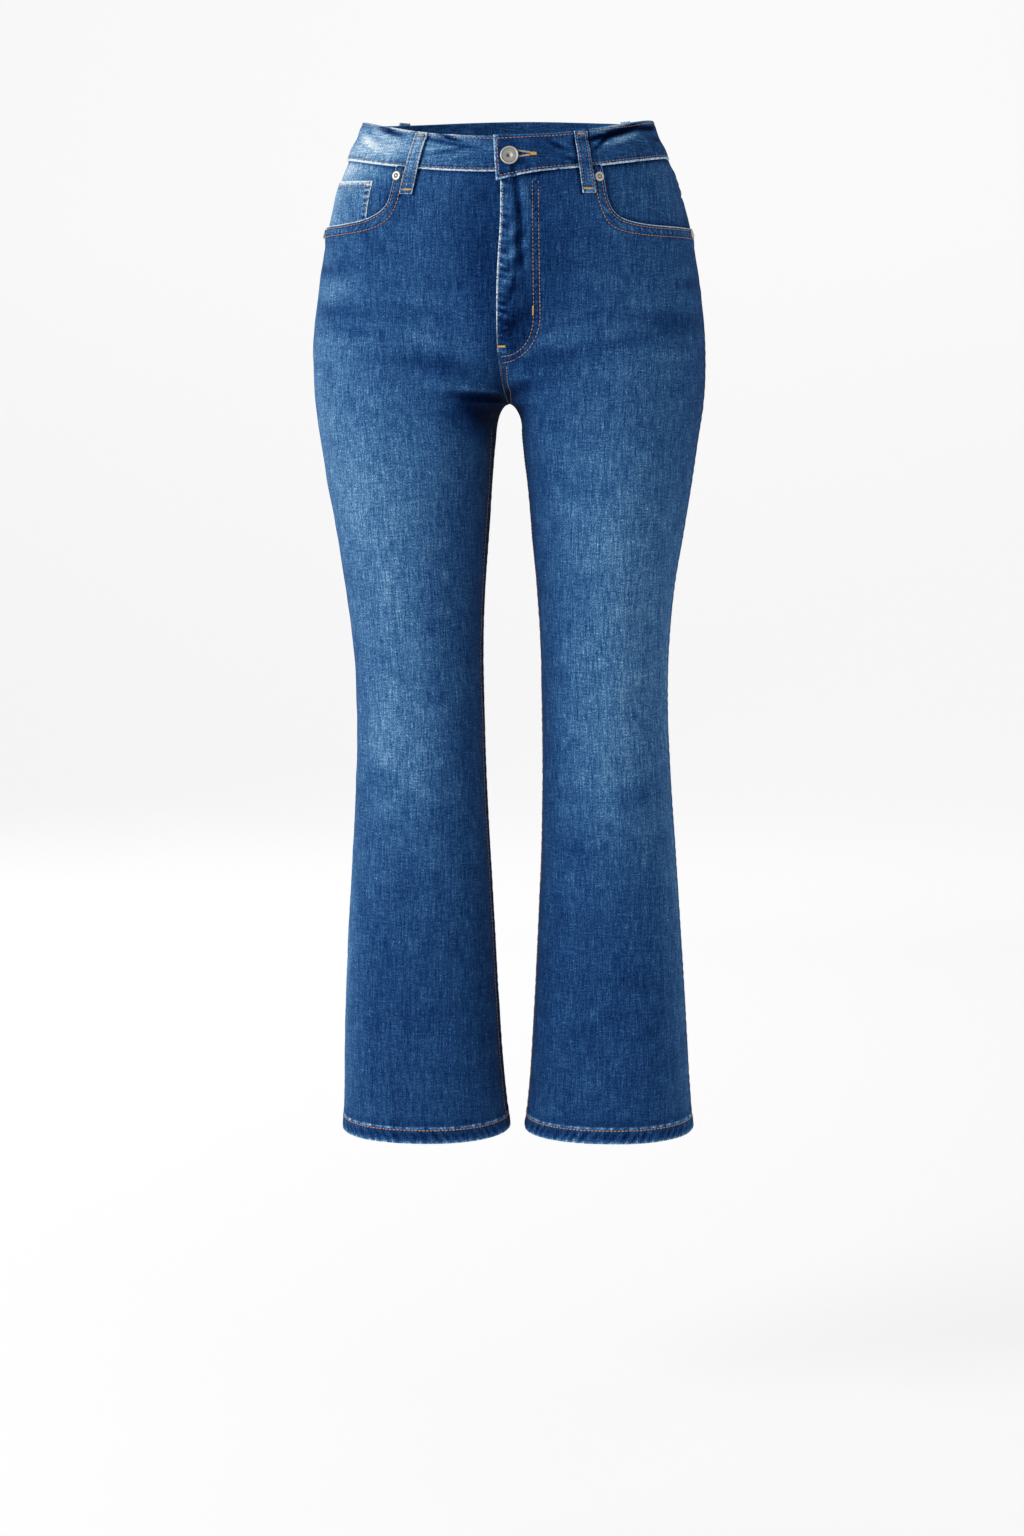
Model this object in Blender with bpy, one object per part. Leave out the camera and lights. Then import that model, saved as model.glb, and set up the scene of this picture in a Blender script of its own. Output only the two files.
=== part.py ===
"""High-waisted cropped jeans with a kick flare, hollow and standing in their worn shape.

Metres, +Z up. The front faces -Y and the wearer's left is +X. The origin is the centre of the
waist opening, at half the waistband's height at the sides, where a waist holds the jeans up.

Every piece is cut from one surface, the outer face of the cloth. A place on it has
  side    -1 on the wearer's right half, 1 on the left half
  s       0 at the side seam, 1 at the front centre or inseam, -1 at the back centre or inseam
  z       height
and each piece is a wall between two lifts, which are distances out of that surface.
"""

import math

import bpy
import numpy as np
from mathutils import Vector

MM = 0.001

# Cloth and seams
CLOTH = 1.2 * MM  # stretch denim
GAP = 0.3 * MM  # between neighbouring pieces
SEAM_SHIFT = 0.0007  # half of the gap at a side seam or inseam, as a share of s

# The cut, as worn. Heights are from the origin and x runs to the wearer's left.
HEM_Z = {-1: -893 * MM, 1: -890 * MM}
CROTCH_Z = -231 * MM
WAIST_TO_HIP = (-60 * MM, CROTCH_Z)  # where sections turn from hip to leg spacing
ROUND_OF_LEG = (-90 * MM, -300 * MM)  # where the outer side turns from hip to leg roundness
LEGS_PART = (-140 * MM, -245 * MM)
FRONT_RISE = 75 * MM  # height over which the front centre seam curves under
BACK_RISE = 135 * MM
ARCH = 26 * MM  # height of the arch between the legs
ROUNDNESS = 2.2  # superellipse exponent of every section
NOTCH_LOW, NOTCH_HIGH = 1.8, 3.4  # how much tighter the thighs round inwards at and above the crotch

SECTION_COLUMNS = (
    "height", "right_out", "right_in", "left_in", "left_out", "front", "back", "seam", "inseam",
)
SECTIONS_MM = (
    (40, -118, -13, 13, 118, -90, 88, 0, 10),
    (18, -128, -13, 13, 128, -94, 92, 0, 10),
    (8, -132.5, -13, 13, 131.5, -96, 94, 1, 10),
    (-6, -140, -13, 13, 138.5, -99, 98, 1, 10),
    (-17, -144, -13, 13, 142.5, -102, 101, 2, 10),
    (-29, -149.5, -13, 13, 148.5, -104, 104, 3, 10),
    (-42, -154, -13, 13, 152.5, -106, 107, 4, 10),
    (-68, -160, -13, 13, 160, -108.5, 113, 5, 10),
    (-103, -167, -13, 13, 167, -110, 120, 6, 10),
    (-140, -172.5, -13, 13, 172.5, -110, 125, 7, 10),
    (-190, -176, -13, 13, 176, -108, 127, 7, 10),
    (-231, -174, -13, 13, 174.5, -105, 121, 6, 10),
    (-263, -169, -13.5, 13.5, 170, -103, 111, 4, 7),
    (-299, -163, -15.5, 17.5, 165, -100, 100, 2, 3),
    (-344, -155, -18, 22, 158, -96, 89, 0, -1),
    (-398, -146, -21.5, 27, 149.5, -89, 79, -3, -4),
    (-453, -139.5, -23, 30.5, 145, -81, 70, -4, -5),
    (-507, -137, -22, 31.5, 144.5, -75, 64, -4, -5),
    (-562, -138, -20.5, 32, 147, -71, 63, -3, -4),
    (-627, -141.5, -17.5, 31, 151.5, -69, 66, -1, -2),
    (-700, -146, -13.5, 28, 156.5, -70, 70, 0, 0),
    (-775, -149.5, -9.5, 24.5, 161.5, -73, 74, 0, 0),
    (-849, -151, -4, 20, 166, -76.5, 77, 0, 0),
    (-900, -152.5, 1.5, 15, 170, -79, 79, 0, 0),
)

# Soft folds of the worn cloth: a ridge is raised and a trough sunk along a short line.
FOLD_COLUMNS = ("side", "face", "s", "height", "length", "tilt", "width", "depth")
FOLDS = (
    (-1, 1, 0.84, -222, 55, -4, 5, -2.6),
    (1, 1, 0.84, -219, 50, -16, 6, -1.5),
    (-1, 1, 0.66, -196, 60, -12, 9, -1.2),
    (1, 1, 0.70, -192, 55, -14, 9, -1.1),
    (-1, 1, 0.25, -150, 70, -6, 9, -1.1),
    (1, 1, 0.28, -160, 65, 5, 10, -1.0),
    (-1, 1, 0.30, -128, 60, 4, 8, 0.9),
    (-1, -1, 0.62, -262, 85, -14, 9, -3.0),
    (1, -1, 0.62, -266, 85, -14, 9, -3.0),
    (-1, -1, 0.55, -292, 80, -10, 9, -2.2),
    (1, -1, 0.53, -298, 75, -10, 9, -2.2),
    (-1, -1, 0.50, -478, 80, -12, 9, -2.6),
    (1, -1, 0.50, -484, 80, 12, 9, -2.6),
    (-1, -1, 0.48, -512, 85, 8, 9, -2.8),
    (1, -1, 0.52, -519, 85, -8, 9, -2.8),
    (-1, -1, 0.50, -548, 70, -10, 9, -2.0),
    (1, -1, 0.50, -553, 70, 10, 9, -2.0),
    (-1, 1, 0.35, -560, 70, 14, 12, -1.0),
    (1, 1, 0.38, -566, 70, -14, 12, -1.0),
)
MM_PER_S = 225 * MM  # cloth from a side seam to a centre seam, for the size of a fold

# Waistband: two layers of cloth with the panels' edges between them
BAND_TOP_SIDE, BAND_SEAM_SIDE = 17.8 * MM, -16.0 * MM
FRONT_DIP, SEAM_DIP, BACK_RAISE = 19.0 * MM, 16.0 * MM, 8.0 * MM
BAND_OUT, BAND_IN = 1.3 * MM, -1.7 * MM
BAND_TUCK = 0.7 * MM  # the soft crease along its middle
OVER_END, OVER_END_LOW = 4 * MM, 0.5 * MM  # how far the buttoned end passes the front centre
UNDER_END = 25 * MM
OVER_LIFT = BAND_OUT - BAND_IN + GAP
OVER_FLAT, OVER_RAMP = 29 * MM, 62 * MM  # the buttoned end lies level, then comes down
DROOP, DROOP_REACH = 8 * MM, 65 * MM  # its lower edge hangs towards the corner

# Fly: the left front, doubled by its facing, laps over the right front
FLY_WIDTH, FLY_STRAIGHT_Z, FLY_END_Z = 37 * MM, -160 * MM, -196 * MM
FLY_RAISE, FLY_LEVEL = 3.1 * MM, 8 * MM  # it lies level this far in from the centre
FLY_FADE = (-164 * MM, -200 * MM)
FLY_LAP, LAP_FADE = 8 * MM, (-150 * MM, -164 * MM)  # how far the right front runs on under it
SET_BACK, SET_BACK_FADE = 3.5 * MM, (-50 * MM, -150 * MM)  # of the fly's edge from the centre
FACING, FACING_GAP, FACING_END_Z = 1.0 * MM, 0.5 * MM, -158 * MM

# Front pocket mouths: (edge as s, depth, squareness of the curve) by side
MOUTH = {-1: (0.59, 43 * MM, 4.6), 1: (0.59, 45.5 * MM, 6.0)}
MOUTH_Z = -31.5 * MM
MOUTH_COLUMNS, MOUTH_FAN = 9, 0.75  # mesh columns along it, and how far they fan out below, as s
MOUTH_HEM = 8 * MM  # the turned edge lies level, then comes down over MOUTH_RAMP
MOUTH_RAMP = 10 * MM
MOUTH_OUT, MOUTH_IN = 1.7 * MM, 0.1 * MM
UNDERLAY_OUT, UNDERLAY_IN = -1.7 * MM, -2.8 * MM
UNDERLAY_RISE, UNDERLAY_RISE_S = 1.4 * MM, 0.10  # up to the back at the side seam
UNDERLAY_TUCK = 11 * MM
UNDERLAY_S = 0.63
COIN_S, COIN_TOP_OUT, COIN_TOP_IN = 0.47, -33 * MM, -37 * MM
COIN_OUT, COIN_IN, COIN_TUCK = -0.35 * MM, -1.4 * MM, 2 * MM

# Back yoke and patch pockets
YOKE_SIDE, YOKE_CENTRE = 30 * MM, 66 * MM
PATCH_TOP_Z = -93 * MM
PATCH_TOP_X, PATCH_LOW_X = (33 * MM, 147 * MM), (41 * MM, 139 * MM)
PATCH_SIDE, PATCH_POINT = 112 * MM, 20 * MM
PATCH_GAP = 0.6 * MM

# Hem: the leg's end turned up twice
HEM_TURN = 13 * MM
HEM_OUT, HEM_IN = 0.5 * MM, 1.3 * MM

# Belt loops: (side, face, x at the top, x at the bottom) and their strip
LOOPS = {
    "belt_loop_front_right": (-1, 1, 66.6 * MM, 79.8 * MM),
    "belt_loop_front_left": (1, 1, 69.6 * MM, 78.6 * MM),
    "belt_loop_back_right": (-1, -1, 99 * MM, 114 * MM),
    "belt_loop_back_left": (1, -1, 99 * MM, 114 * MM),
    "belt_loop_back_centre": (1, -1, 0, 0),
}
LOOP_WIDTH, LOOP_THICK = 11.5 * MM, 1.9 * MM
LOOP_OVER_TOP, LOOP_BELOW_SEAM = -0.3 * MM, 21.4 * MM
LOOP_CLEAR = 1.3 * MM  # room under the middle for a belt to be threaded

# Metal trims
BUTTON_X, BUTTON_Z, BUTTON_R = 10.8 * MM, -19.8 * MM, 8.1 * MM
RIVET_R = 4.3 * MM
RIVETS = {
    "rivet_right_inner": (-1, 88.1 * MM, -34.6 * MM),
    "rivet_left_inner": (1, 86.6 * MM, -36.2 * MM),
    "rivet_right_outer": (-1, 162.0 * MM, -80.5 * MM),
    "rivet_left_outer": (1, 162.0 * MM, -81.5 * MM),
}


def smooth(t):
    t = np.clip(t, 0, 1)
    return t * t * (3 - 2 * t)


def share(z, start, end):
    """0 above start, 1 below end, smooth between them."""
    return smooth((start - np.asarray(z, float)) / (start - end))


def column(name, z):
    """A column of the section table at height z, on a smooth curve through its rows."""
    rows = np.array(SECTIONS_MM, float)[::-1] * MM
    heights, values = rows[:, 0], rows[:, SECTION_COLUMNS.index(name)]
    slopes = np.gradient(values, heights)
    z = np.clip(z, heights[0], heights[-1])
    i = np.clip(np.searchsorted(heights, z) - 1, 0, len(heights) - 2)
    step = heights[i + 1] - heights[i]
    t = (z - heights[i]) / step
    return (
        values[i] * (1 + 2 * t) * (1 - t) ** 2
        + values[i + 1] * t * t * (3 - 2 * t)
        + step * (slopes[i] * t * (1 - t) ** 2 - slopes[i + 1] * t * t * (1 - t))
    )


def bare_point(side, s, z):
    """A point on the smooth surface, with no folds."""
    side, s, z = np.broadcast_arrays(*(np.asarray(a, float) for a in (side, s, z)))
    past, leg = np.abs(s) > 1, z < CROTCH_Z
    turned = np.where(leg, s - 2 * np.sign(s), 2 * np.sign(s) - s)
    side = np.where(past & ~leg, -side, side)
    s = np.where(past, turned, s)

    out = np.where(side > 0, column("left_out", z), -column("right_out", z))
    inner = np.where(side > 0, column("left_in", z), -column("right_in", z))
    below = np.clip((CROTCH_Z - z) / ARCH, 0, 1)
    meant = inner * share(z, *LEGS_PART)  # parting slowly, for all but the cloth at the arch
    inner = inner * np.sqrt(1 - (1 - below) ** 2)
    middle, half = (out + meant) / 2, (out - meant) / 2

    in_share = (1 - np.cos(s * math.pi)) / 2
    spacing = share(z, *WAIST_TO_HIP)
    even_x = (1 - spacing) * out * np.cos(s * math.pi / 2) + spacing * (out + (meant - out) * in_share)
    x = even_x + spacing * (inner - meant) * in_share**6

    leg_round = share(z, *ROUND_OF_LEG)
    g = (1 - leg_round) * even_x / out + leg_round * np.maximum(0, (even_x - middle) / half)
    n = ROUNDNESS
    outer_round = np.maximum(0, 1 - np.clip(g, 0, 1) ** n) ** (1 / n)

    rise = np.where(s >= 0, FRONT_RISE, BACK_RISE)
    up = np.clip(1 - (z - CROTCH_Z) / rise, 0, 1)
    open_share = np.sqrt(1 - up**2)
    in_from_edge = np.clip(1 - (even_x - spacing * meant) / (middle - spacing * meant), 0, 1)
    tight = NOTCH_LOW * (1 - share(z, CROTCH_Z, CROTCH_Z - 90 * MM)) + NOTCH_HIGH * smooth(1 - up)
    notch = (1 - open_share**n) * in_from_edge ** (n + tight)
    inner_round = np.maximum(0, 1 - notch) ** (1 / n)

    seam = column("inseam", z) * in_share + column("seam", z) * (1 - in_share)
    depth = np.where(s >= 0, column("front", z), column("back", z))
    y = seam + (depth - seam) * outer_round * inner_round
    return np.stack([side * x, y, z], axis=-1)


def normal(side, s, z):
    """The direction out of the cloth."""
    step_s, step_z = 0.012, 2 * MM
    along_s = bare_point(side, s + step_s, z) - bare_point(side, s - step_s, z)
    along_z = bare_point(side, s, z + step_z) - bare_point(side, s, z - step_z)
    n = np.cross(along_z, along_s) * np.asarray(side, float)[..., None]
    return n / np.linalg.norm(n, axis=-1, keepdims=True)


def relief(side, s, z):
    """How far the folds raise the cloth."""
    total = np.zeros(np.broadcast(side, s, z).shape)
    for fold in FOLDS:
        row = dict(zip(FOLD_COLUMNS, fold))
        across = (np.abs(s) - row["s"]) * MM_PER_S
        up = z - row["height"] * MM
        tilt = math.radians(row["tilt"])
        along = across * math.cos(tilt) + up * math.sin(tilt)
        off = up * math.cos(tilt) - across * math.sin(tilt)
        bump = np.exp(-((along / (0.5 * row["length"] * MM)) ** 2) - (off / (row["width"] * MM)) ** 2)
        here = (side == row["side"]) & (np.sign(s + 1e-9) == row["face"])
        fade = smooth(np.abs(s) / 0.12) * smooth((1 - np.abs(s)) / 0.12)
        total += np.where(here, bump * fade * row["depth"] * MM, 0)
    return total


def skin(side, s, z, lift):
    """A point this far out of the folded surface."""
    side, s, z, lift = np.broadcast_arrays(*(np.asarray(a, float) for a in (side, s, z, lift)))
    return bare_point(side, s, z) + normal(side, s, z) * (lift + relief(side, s, z))[..., None]


def s_at_x(side, face, x, z):
    """The s of the place x metres from the centre plane."""
    dense = np.linspace(0, 1, 200)

    def one(x_now, z_now):
        xs = side * bare_point(side, dense * face, z_now)[:, 0]
        return face * np.interp(x_now, xs[::-1], dense[::-1])

    return np.vectorize(one)(x, z)


# Building solids


def add_solid(name, points, faces, material):
    mesh = bpy.data.meshes.new(name)
    mesh.from_pydata([tuple(p) for p in points], [], faces)
    corners = np.array([p for f in faces for p in ((f[0], f[i], f[i + 1]) for i in range(1, len(f) - 1))])
    a, b, c = (np.asarray(points)[corners[:, i]] for i in range(3))
    if (a * np.cross(b, c)).sum() < 0:
        mesh.flip_normals()
    mesh.materials.append(material)
    mesh.shade_smooth()
    mesh.set_sharp_from_angle(angle=math.radians(40))
    node = bpy.data.objects.new(name, mesh)
    bpy.context.scene.collection.objects.link(node)
    return node


def wall(name, outer, inner, material):
    """A closed wall between two grids of points, rows by columns."""
    rows, cols = outer.shape[:2]
    count = rows * cols

    def at(r, c, layer):
        return layer * count + r * cols + c

    faces = []
    for r in range(rows - 1):
        for c in range(cols - 1):
            faces.append((at(r, c, 0), at(r, c + 1, 0), at(r + 1, c + 1, 0), at(r + 1, c, 0)))
            faces.append((at(r, c, 1), at(r + 1, c, 1), at(r + 1, c + 1, 1), at(r, c + 1, 1)))
    rim = [(0, c) for c in range(cols)] + [(r, cols - 1) for r in range(1, rows)]
    rim += [(rows - 1, c) for c in range(cols - 2, -1, -1)] + [(r, 0) for r in range(rows - 2, 0, -1)]
    for (r0, c0), (r1, c1) in zip(rim, rim[1:] + rim[:1]):
        faces.append((at(r0, c0, 0), at(r0, c0, 1), at(r1, c1, 1), at(r1, c1, 0)))
    points = np.concatenate([outer.reshape(-1, 3), inner.reshape(-1, 3)])
    return add_solid(name, points, faces, material)


def cloth_piece(name, side, s, z, outer, inner, material, own_side=False):
    """A wall over a grid of places. own_side keeps it off the other half near the centre seams."""
    grids = [skin(side, s, z, lift) for lift in (outer, inner)]
    if own_side:
        near = z > CROTCH_Z - 0.7 * ARCH
        for grid in grids:
            held = side * np.maximum(side * grid[..., 0], GAP / 2)
            grid[..., 0] = np.where(near, held, grid[..., 0])
    return wall(name, *grids, material)


def turned(name, side, s, z, base, profile, steps, material):
    """A turned piece standing on the cloth. The profile runs down its outer side as (radius, height)."""
    mesh = bpy.data.meshes.new(name)
    edges = [(i, i + 1) for i in range(len(profile) - 1)]
    mesh.from_pydata([(radius, 0, height) for radius, height in profile], edges, [])
    mesh.materials.append(material)
    node = bpy.data.objects.new(name, mesh)
    bpy.context.scene.collection.objects.link(node)
    node.location = skin(side, s, z, base)
    node.rotation_euler = Vector(normal(side, s, z)).to_track_quat("Z", "Y").to_euler()
    turn = node.modifiers.new("turn", "SCREW")
    turn.steps = turn.render_steps = steps
    turn.use_smooth_shade = True
    turn.use_merge_vertices = True
    turn.merge_threshold = 0.00001


def finish(name, colour, roughness, metallic=0.0):
    material = bpy.data.materials.new(name)
    material.use_nodes = True
    shader = material.node_tree.nodes["Principled BSDF"]
    shader.inputs["Base Color"].default_value = (*colour, 1)
    shader.inputs["Roughness"].default_value = roughness
    shader.inputs["Metallic"].default_value = metallic
    return material


# The waist


def place_round(turn):
    """(side, s) of a place round the waist: 0 at the front centre, 1 at the left side seam, 2 at the back."""
    turn = (np.asarray(turn, float) + 2) % 4 - 2
    return np.where(turn >= 0, 1.0, -1.0), np.where(np.abs(turn) <= 1, 1 - np.abs(turn), 1 - np.abs(turn))


def front_share(s):
    return np.where(np.asarray(s) > 0, np.sin(np.pi * np.asarray(s, float) / 2) ** 2, 0)


def back_share(s):
    return np.where(np.asarray(s) < 0, np.sin(np.pi * np.asarray(s, float) / 2) ** 2, 0)


def band_top(s):
    return BAND_TOP_SIDE - FRONT_DIP * front_share(s) + BACK_RAISE * back_share(s)


def band_seam(s):
    return BAND_SEAM_SIDE - SEAM_DIP * front_share(s) + BACK_RAISE * back_share(s)


def droop(from_centre):
    """How much lower the buttoned end's edge hangs, by its distance from the front centre."""
    return DROOP * np.clip(1 - from_centre / DROOP_REACH, 0, 1) ** 2


def waist_width(s):
    """Distance round the front from the front centre, near enough for the overlap."""
    return (1 - s) * math.pi / 2 * 150 * MM


def panel_top(side, s):
    """The line where a front or yoke meets the band."""
    drooped = np.where((side > 0) & (np.asarray(s) > 0), droop(waist_width(np.asarray(s, float))), 0)
    return band_seam(s) - drooped - GAP


def waistband(material):
    quarter = waist_width(0)
    start, end = UNDER_END / quarter, -4 - OVER_END / quarter
    ramp = -4 + np.array([OVER_RAMP, 50 * MM, 41 * MM, OVER_FLAT, 19 * MM, 9 * MM, 0]) / quarter
    turns = np.concatenate([[start, start / 2], np.linspace(0, ramp[0], 62), ramp[1:], [end]])
    up = np.array([0, 0.3, 0.5, 0.72, 1.0])[:, None]
    slant = (OVER_END - OVER_END_LOW) / quarter * (1 - up)
    turns = turns + slant * smooth(1 - (turns - end) * quarter / (20 * MM))
    side, s = place_round(turns)
    from_centre = (turns + 4) * quarter
    over = OVER_LIFT * (1 - smooth((from_centre - OVER_FLAT) / (OVER_RAMP - OVER_FLAT)))
    over = np.where(turns < -3, over, 0)
    low = band_seam(s) - np.where(turns < -3, droop(np.maximum(from_centre, 0)), 0)
    z = low + (band_top(s) - low) * up
    tuck = BAND_TUCK * np.exp(-(((up - 0.5) / 0.16) ** 2)) * smooth((np.cos(turns * math.pi) + 1) / -2 + 0.9)
    cloth_piece("waistband", side, s, z, BAND_OUT + over - tuck, BAND_IN + over, material)


# Fronts


def fly_edge(z):
    """Half the J that the fly is stitched to: its distance from the front centre."""
    down = np.clip((FLY_STRAIGHT_Z - z) / (FLY_STRAIGHT_Z - FLY_END_Z), 0, 1)
    return FLY_WIDTH * np.sqrt(1 - down**2)


def fly_lift(s, z):
    x = np.abs(bare_point(1, s, z)[..., 0])
    raised = FLY_RAISE * (1 - share(z, *FLY_FADE))
    return raised * (1 - smooth((x - FLY_LEVEL) / (FLY_WIDTH - FLY_LEVEL))) * (s > 0)


def mouth_reach(side, s, z):
    """1 on the edge of the pocket mouth, less inside it and more on the front panel."""
    edge, depth, square = MOUTH[side]
    return ((s / edge) ** square + (np.maximum(0, MOUTH_Z - z) / depth) ** square) ** (1 / square)


def mouth_distance(side, s, z):
    """Distance from the pocket mouth's edge, on the front panel."""
    here = mouth_reach(side, s, z)
    by_s = (mouth_reach(side, s + 0.01, z) - here) / (0.01 * MM_PER_S)
    by_z = (mouth_reach(side, s, z - MM) - here) / MM
    return (here - 1) / np.sqrt(by_s**2 + by_z**2 + 1e-6)


def mouth_share(side, s, z):
    """1 on the turned edge of the pocket mouth, 0 on the plain panel."""
    return 1 - smooth((mouth_distance(side, s, z) - MOUTH_HEM) / MOUTH_RAMP)


def mouth_low(side, s):
    """Height of the pocket mouth's edge below place s."""
    edge, depth, square = MOUTH[side]
    return MOUTH_Z - depth * np.maximum(0, 1 - (np.asarray(s) / edge) ** square) ** (1 / square)


def resampled(line, count, per_turn=22 * MM):
    """Points along a line of (s, z), closer where it turns: a radian counts as this much length."""
    line = np.asarray(line)
    steps = np.diff(line, axis=0) * (MM_PER_S, 1)
    turn = np.unwrap(np.arctan2(steps[:, 1], steps[:, 0]))
    cost = np.hypot(*steps.T) + per_turn * np.abs(np.gradient(turn))
    length = np.concatenate([[0], np.cumsum(cost)])
    even = np.linspace(0, length[-1], count)
    return np.stack([np.interp(even, length, line[:, i]) for i in (0, 1)], axis=1)


def centre_end(side, z):
    """Where a front ends at the centre: the right front runs on under the fly, and the left is set back."""
    past = FLY_LAP * (1 - share(z, *LAP_FADE)) if side < 0 else -SET_BACK * (1 - share(z, *SET_BACK_FADE))
    return 1 - SEAM_SHIFT + past / (math.pi / 2 * 165 * MM)


def leg_rows(side, rise):
    """Heights from the start of the crotch curve down to the hem."""
    curve = [CROTCH_Z + rise * (1 - math.sin(a)) for a in np.radians(np.linspace(0, 90, 8))]
    arch = [CROTCH_Z - ARCH * (1 - math.cos(a)) for a in np.radians((22, 45, 67, 90))]
    hem = HEM_Z[side]
    leg = np.linspace(CROTCH_Z - ARCH, hem + HEM_TURN + 1.5 * MM, 20)[1:]
    return [*curve, *arch, *leg, hem + HEM_TURN, hem + HEM_TURN / 2, hem]


def hem_share(side, z):
    return smooth((HEM_Z[side] + HEM_TURN + 1.5 * MM - z) / (1.5 * MM))


def mouth_line(side):
    """Points along the pocket mouth's edge, from the side seam to the waist."""
    edge = MOUTH[side][0]
    dense = edge * np.sin(np.linspace(0, math.pi / 2, 90)) ** 0.5
    dense[0] = SEAM_SHIFT
    line = [*np.stack([dense, mouth_low(side, dense)], axis=1), (edge, float(panel_top(side, edge)))]
    return resampled(line, MOUTH_COLUMNS + 1)


def front_panel(name, side, material):
    waist_cols, top_rows = 8, 6
    cols = MOUTH_COLUMNS + waist_cols
    waist = np.linspace(MOUTH[side][0], centre_end(side, 0), waist_cols + 1)[1:]
    top = np.concatenate([mouth_line(side), np.stack([waist, panel_top(side, waist)], axis=1)])

    # Columns fan out from the mouth's upright part, and are even again on the thigh.
    even = np.linspace(0, 1, cols + 1)
    fanned = np.interp(even * cols, (0, MOUTH_COLUMNS, cols), (0, MOUTH_FAN, 1))
    low_z = -100 * MM
    v = np.linspace(0, 1, top_rows + 1)[:, None]
    low = np.array([-118 * MM, -137 * MM, *leg_rows(side, FRONT_RISE)])[:, None]
    z = np.concatenate([top[:, 1] * (1 - v) + low_z * v, low + 0 * even])
    evened = share(z, low_z, CROTCH_Z)
    along = fanned * (1 - evened) + even * evened
    level = SEAM_SHIFT + along * (centre_end(side, z) - SEAM_SHIFT)
    down = np.concatenate([v, 1 + 0 * low])
    s = top[:, 0] * (1 - down) + level * down

    turned = mouth_share(side, s, z)
    hem = hem_share(side, z)
    fly = fly_lift(s, z) if side > 0 else 0
    outer = MOUTH_OUT * turned + HEM_OUT * hem + fly
    inner = (MOUTH_IN + CLOTH) * turned - CLOTH - HEM_IN * hem + fly
    below_fly = z < FLY_END_Z
    grids = [skin(side, s, z, lift) for lift in (outer, inner)]
    for grid in grids:
        near = (z > CROTCH_Z - 0.7 * ARCH) & (below_fly | (side > 0))
        held = side * np.maximum(side * grid[..., 0], GAP / 2)
        grid[..., 0] = np.where(near & (s > 0.5), held, grid[..., 0])
    wall(name, *grids, material)


def pocket_underlay(name, side, material):
    """The piece of denim that shows inside a front pocket's mouth, sewn into the side seam."""
    s = np.append(mouth_line(side)[:-3, 0], UNDERLAY_S)
    low = np.minimum(mouth_low(side, np.minimum(s, MOUTH[side][0] * 0.93)), -60 * MM) - UNDERLAY_TUCK
    v = np.linspace(0, 1, 7)[:, None]
    z = panel_top(side, s) * (1 - v) + low * v
    rise = UNDERLAY_RISE * (1 - smooth(s / UNDERLAY_RISE_S))
    if side < 0:
        rise = rise * (1 - share(z, COIN_TOP_OUT + 11 * MM, COIN_TOP_OUT + 3 * MM))
    cloth_piece(name, side, s + 0 * z, z, UNDERLAY_OUT + rise, UNDERLAY_IN + rise, material)


def coin_pocket(material):
    side = -1
    s = mouth_line(side)[:, 0]
    s = np.append(s[s < COIN_S - 0.02], COIN_S)
    top = COIN_TOP_OUT + (COIN_TOP_IN - COIN_TOP_OUT) * s / COIN_S
    low = mouth_low(side, s) - COIN_TUCK
    v = np.linspace(0, 1, 6)[:, None]
    z = top * (1 - v) + low * v
    cloth_piece("coin_pocket", side, s + 0 * z, z, COIN_OUT, COIN_IN, material)


def fly_facing(material):
    """The facing that doubles the fly behind the left front's edge."""
    top = float(panel_top(1, 1.0)) - MM
    z = np.linspace(top, FACING_END_Z, 9)[:, None] + 0 * np.zeros(7)
    start = SET_BACK * (1 - share(z, *SET_BACK_FADE)) + 0.8 * MM
    x = start + np.linspace(0, 1, 7) * (fly_edge(z) - 1.5 * MM - start)
    s = s_at_x(1, 1, x, z)
    outer = fly_lift(s, z) - CLOTH - FACING_GAP
    cloth_piece("fly_facing", 1, s, z, outer, outer - FACING, material)


# Backs


def yoke_line(s):
    return band_seam(s) - YOKE_SIDE - (YOKE_CENTRE - YOKE_SIDE) * np.abs(s)


def back_panel(name, side, material):
    cols, low_z = 13, CROTCH_Z + BACK_RISE
    s_row = -np.linspace(SEAM_SHIFT, 1 - SEAM_SHIFT, cols + 1)
    v = np.linspace(0, 1, 4)[:-1, None]
    top = (yoke_line(s_row) - GAP) * (1 - v) + low_z * v
    rows = np.array([-110 * MM] + leg_rows(side, BACK_RISE)[1:])[:, None]
    z = np.concatenate([top, [np.full(cols + 1, low_z)], rows + 0 * s_row])
    hem = hem_share(side, z)
    cloth_piece(
        name, side, s_row + 0 * z, z, HEM_OUT * hem, -CLOTH - HEM_IN * hem, material, own_side=True
    )


def yoke(name, side, material):
    s_row = -np.linspace(SEAM_SHIFT, 1 - SEAM_SHIFT, 13)
    v = np.linspace(0, 1, 5)[:, None]
    z = panel_top(side, s_row) * (1 - v) + yoke_line(s_row) * v
    cloth_piece(name, side, s_row + 0 * z, z, 0, -CLOTH, material, own_side=True)


def patch_pocket(name, side, material):
    u = np.linspace(0, 1, 9)
    v = np.linspace(0, 1, 8)[:, None]
    low = PATCH_SIDE + PATCH_POINT * (1 - np.abs(2 * u - 1))
    z = PATCH_TOP_Z - low * v
    near = PATCH_TOP_X[0] + (PATCH_LOW_X[0] - PATCH_TOP_X[0]) * v
    far = PATCH_TOP_X[1] + (PATCH_LOW_X[1] - PATCH_TOP_X[1]) * v
    s = s_at_x(side, -1, near + (far - near) * u, z)
    cloth_piece(name, side, s, z, PATCH_GAP + CLOTH, PATCH_GAP, material)


# Trims


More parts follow.
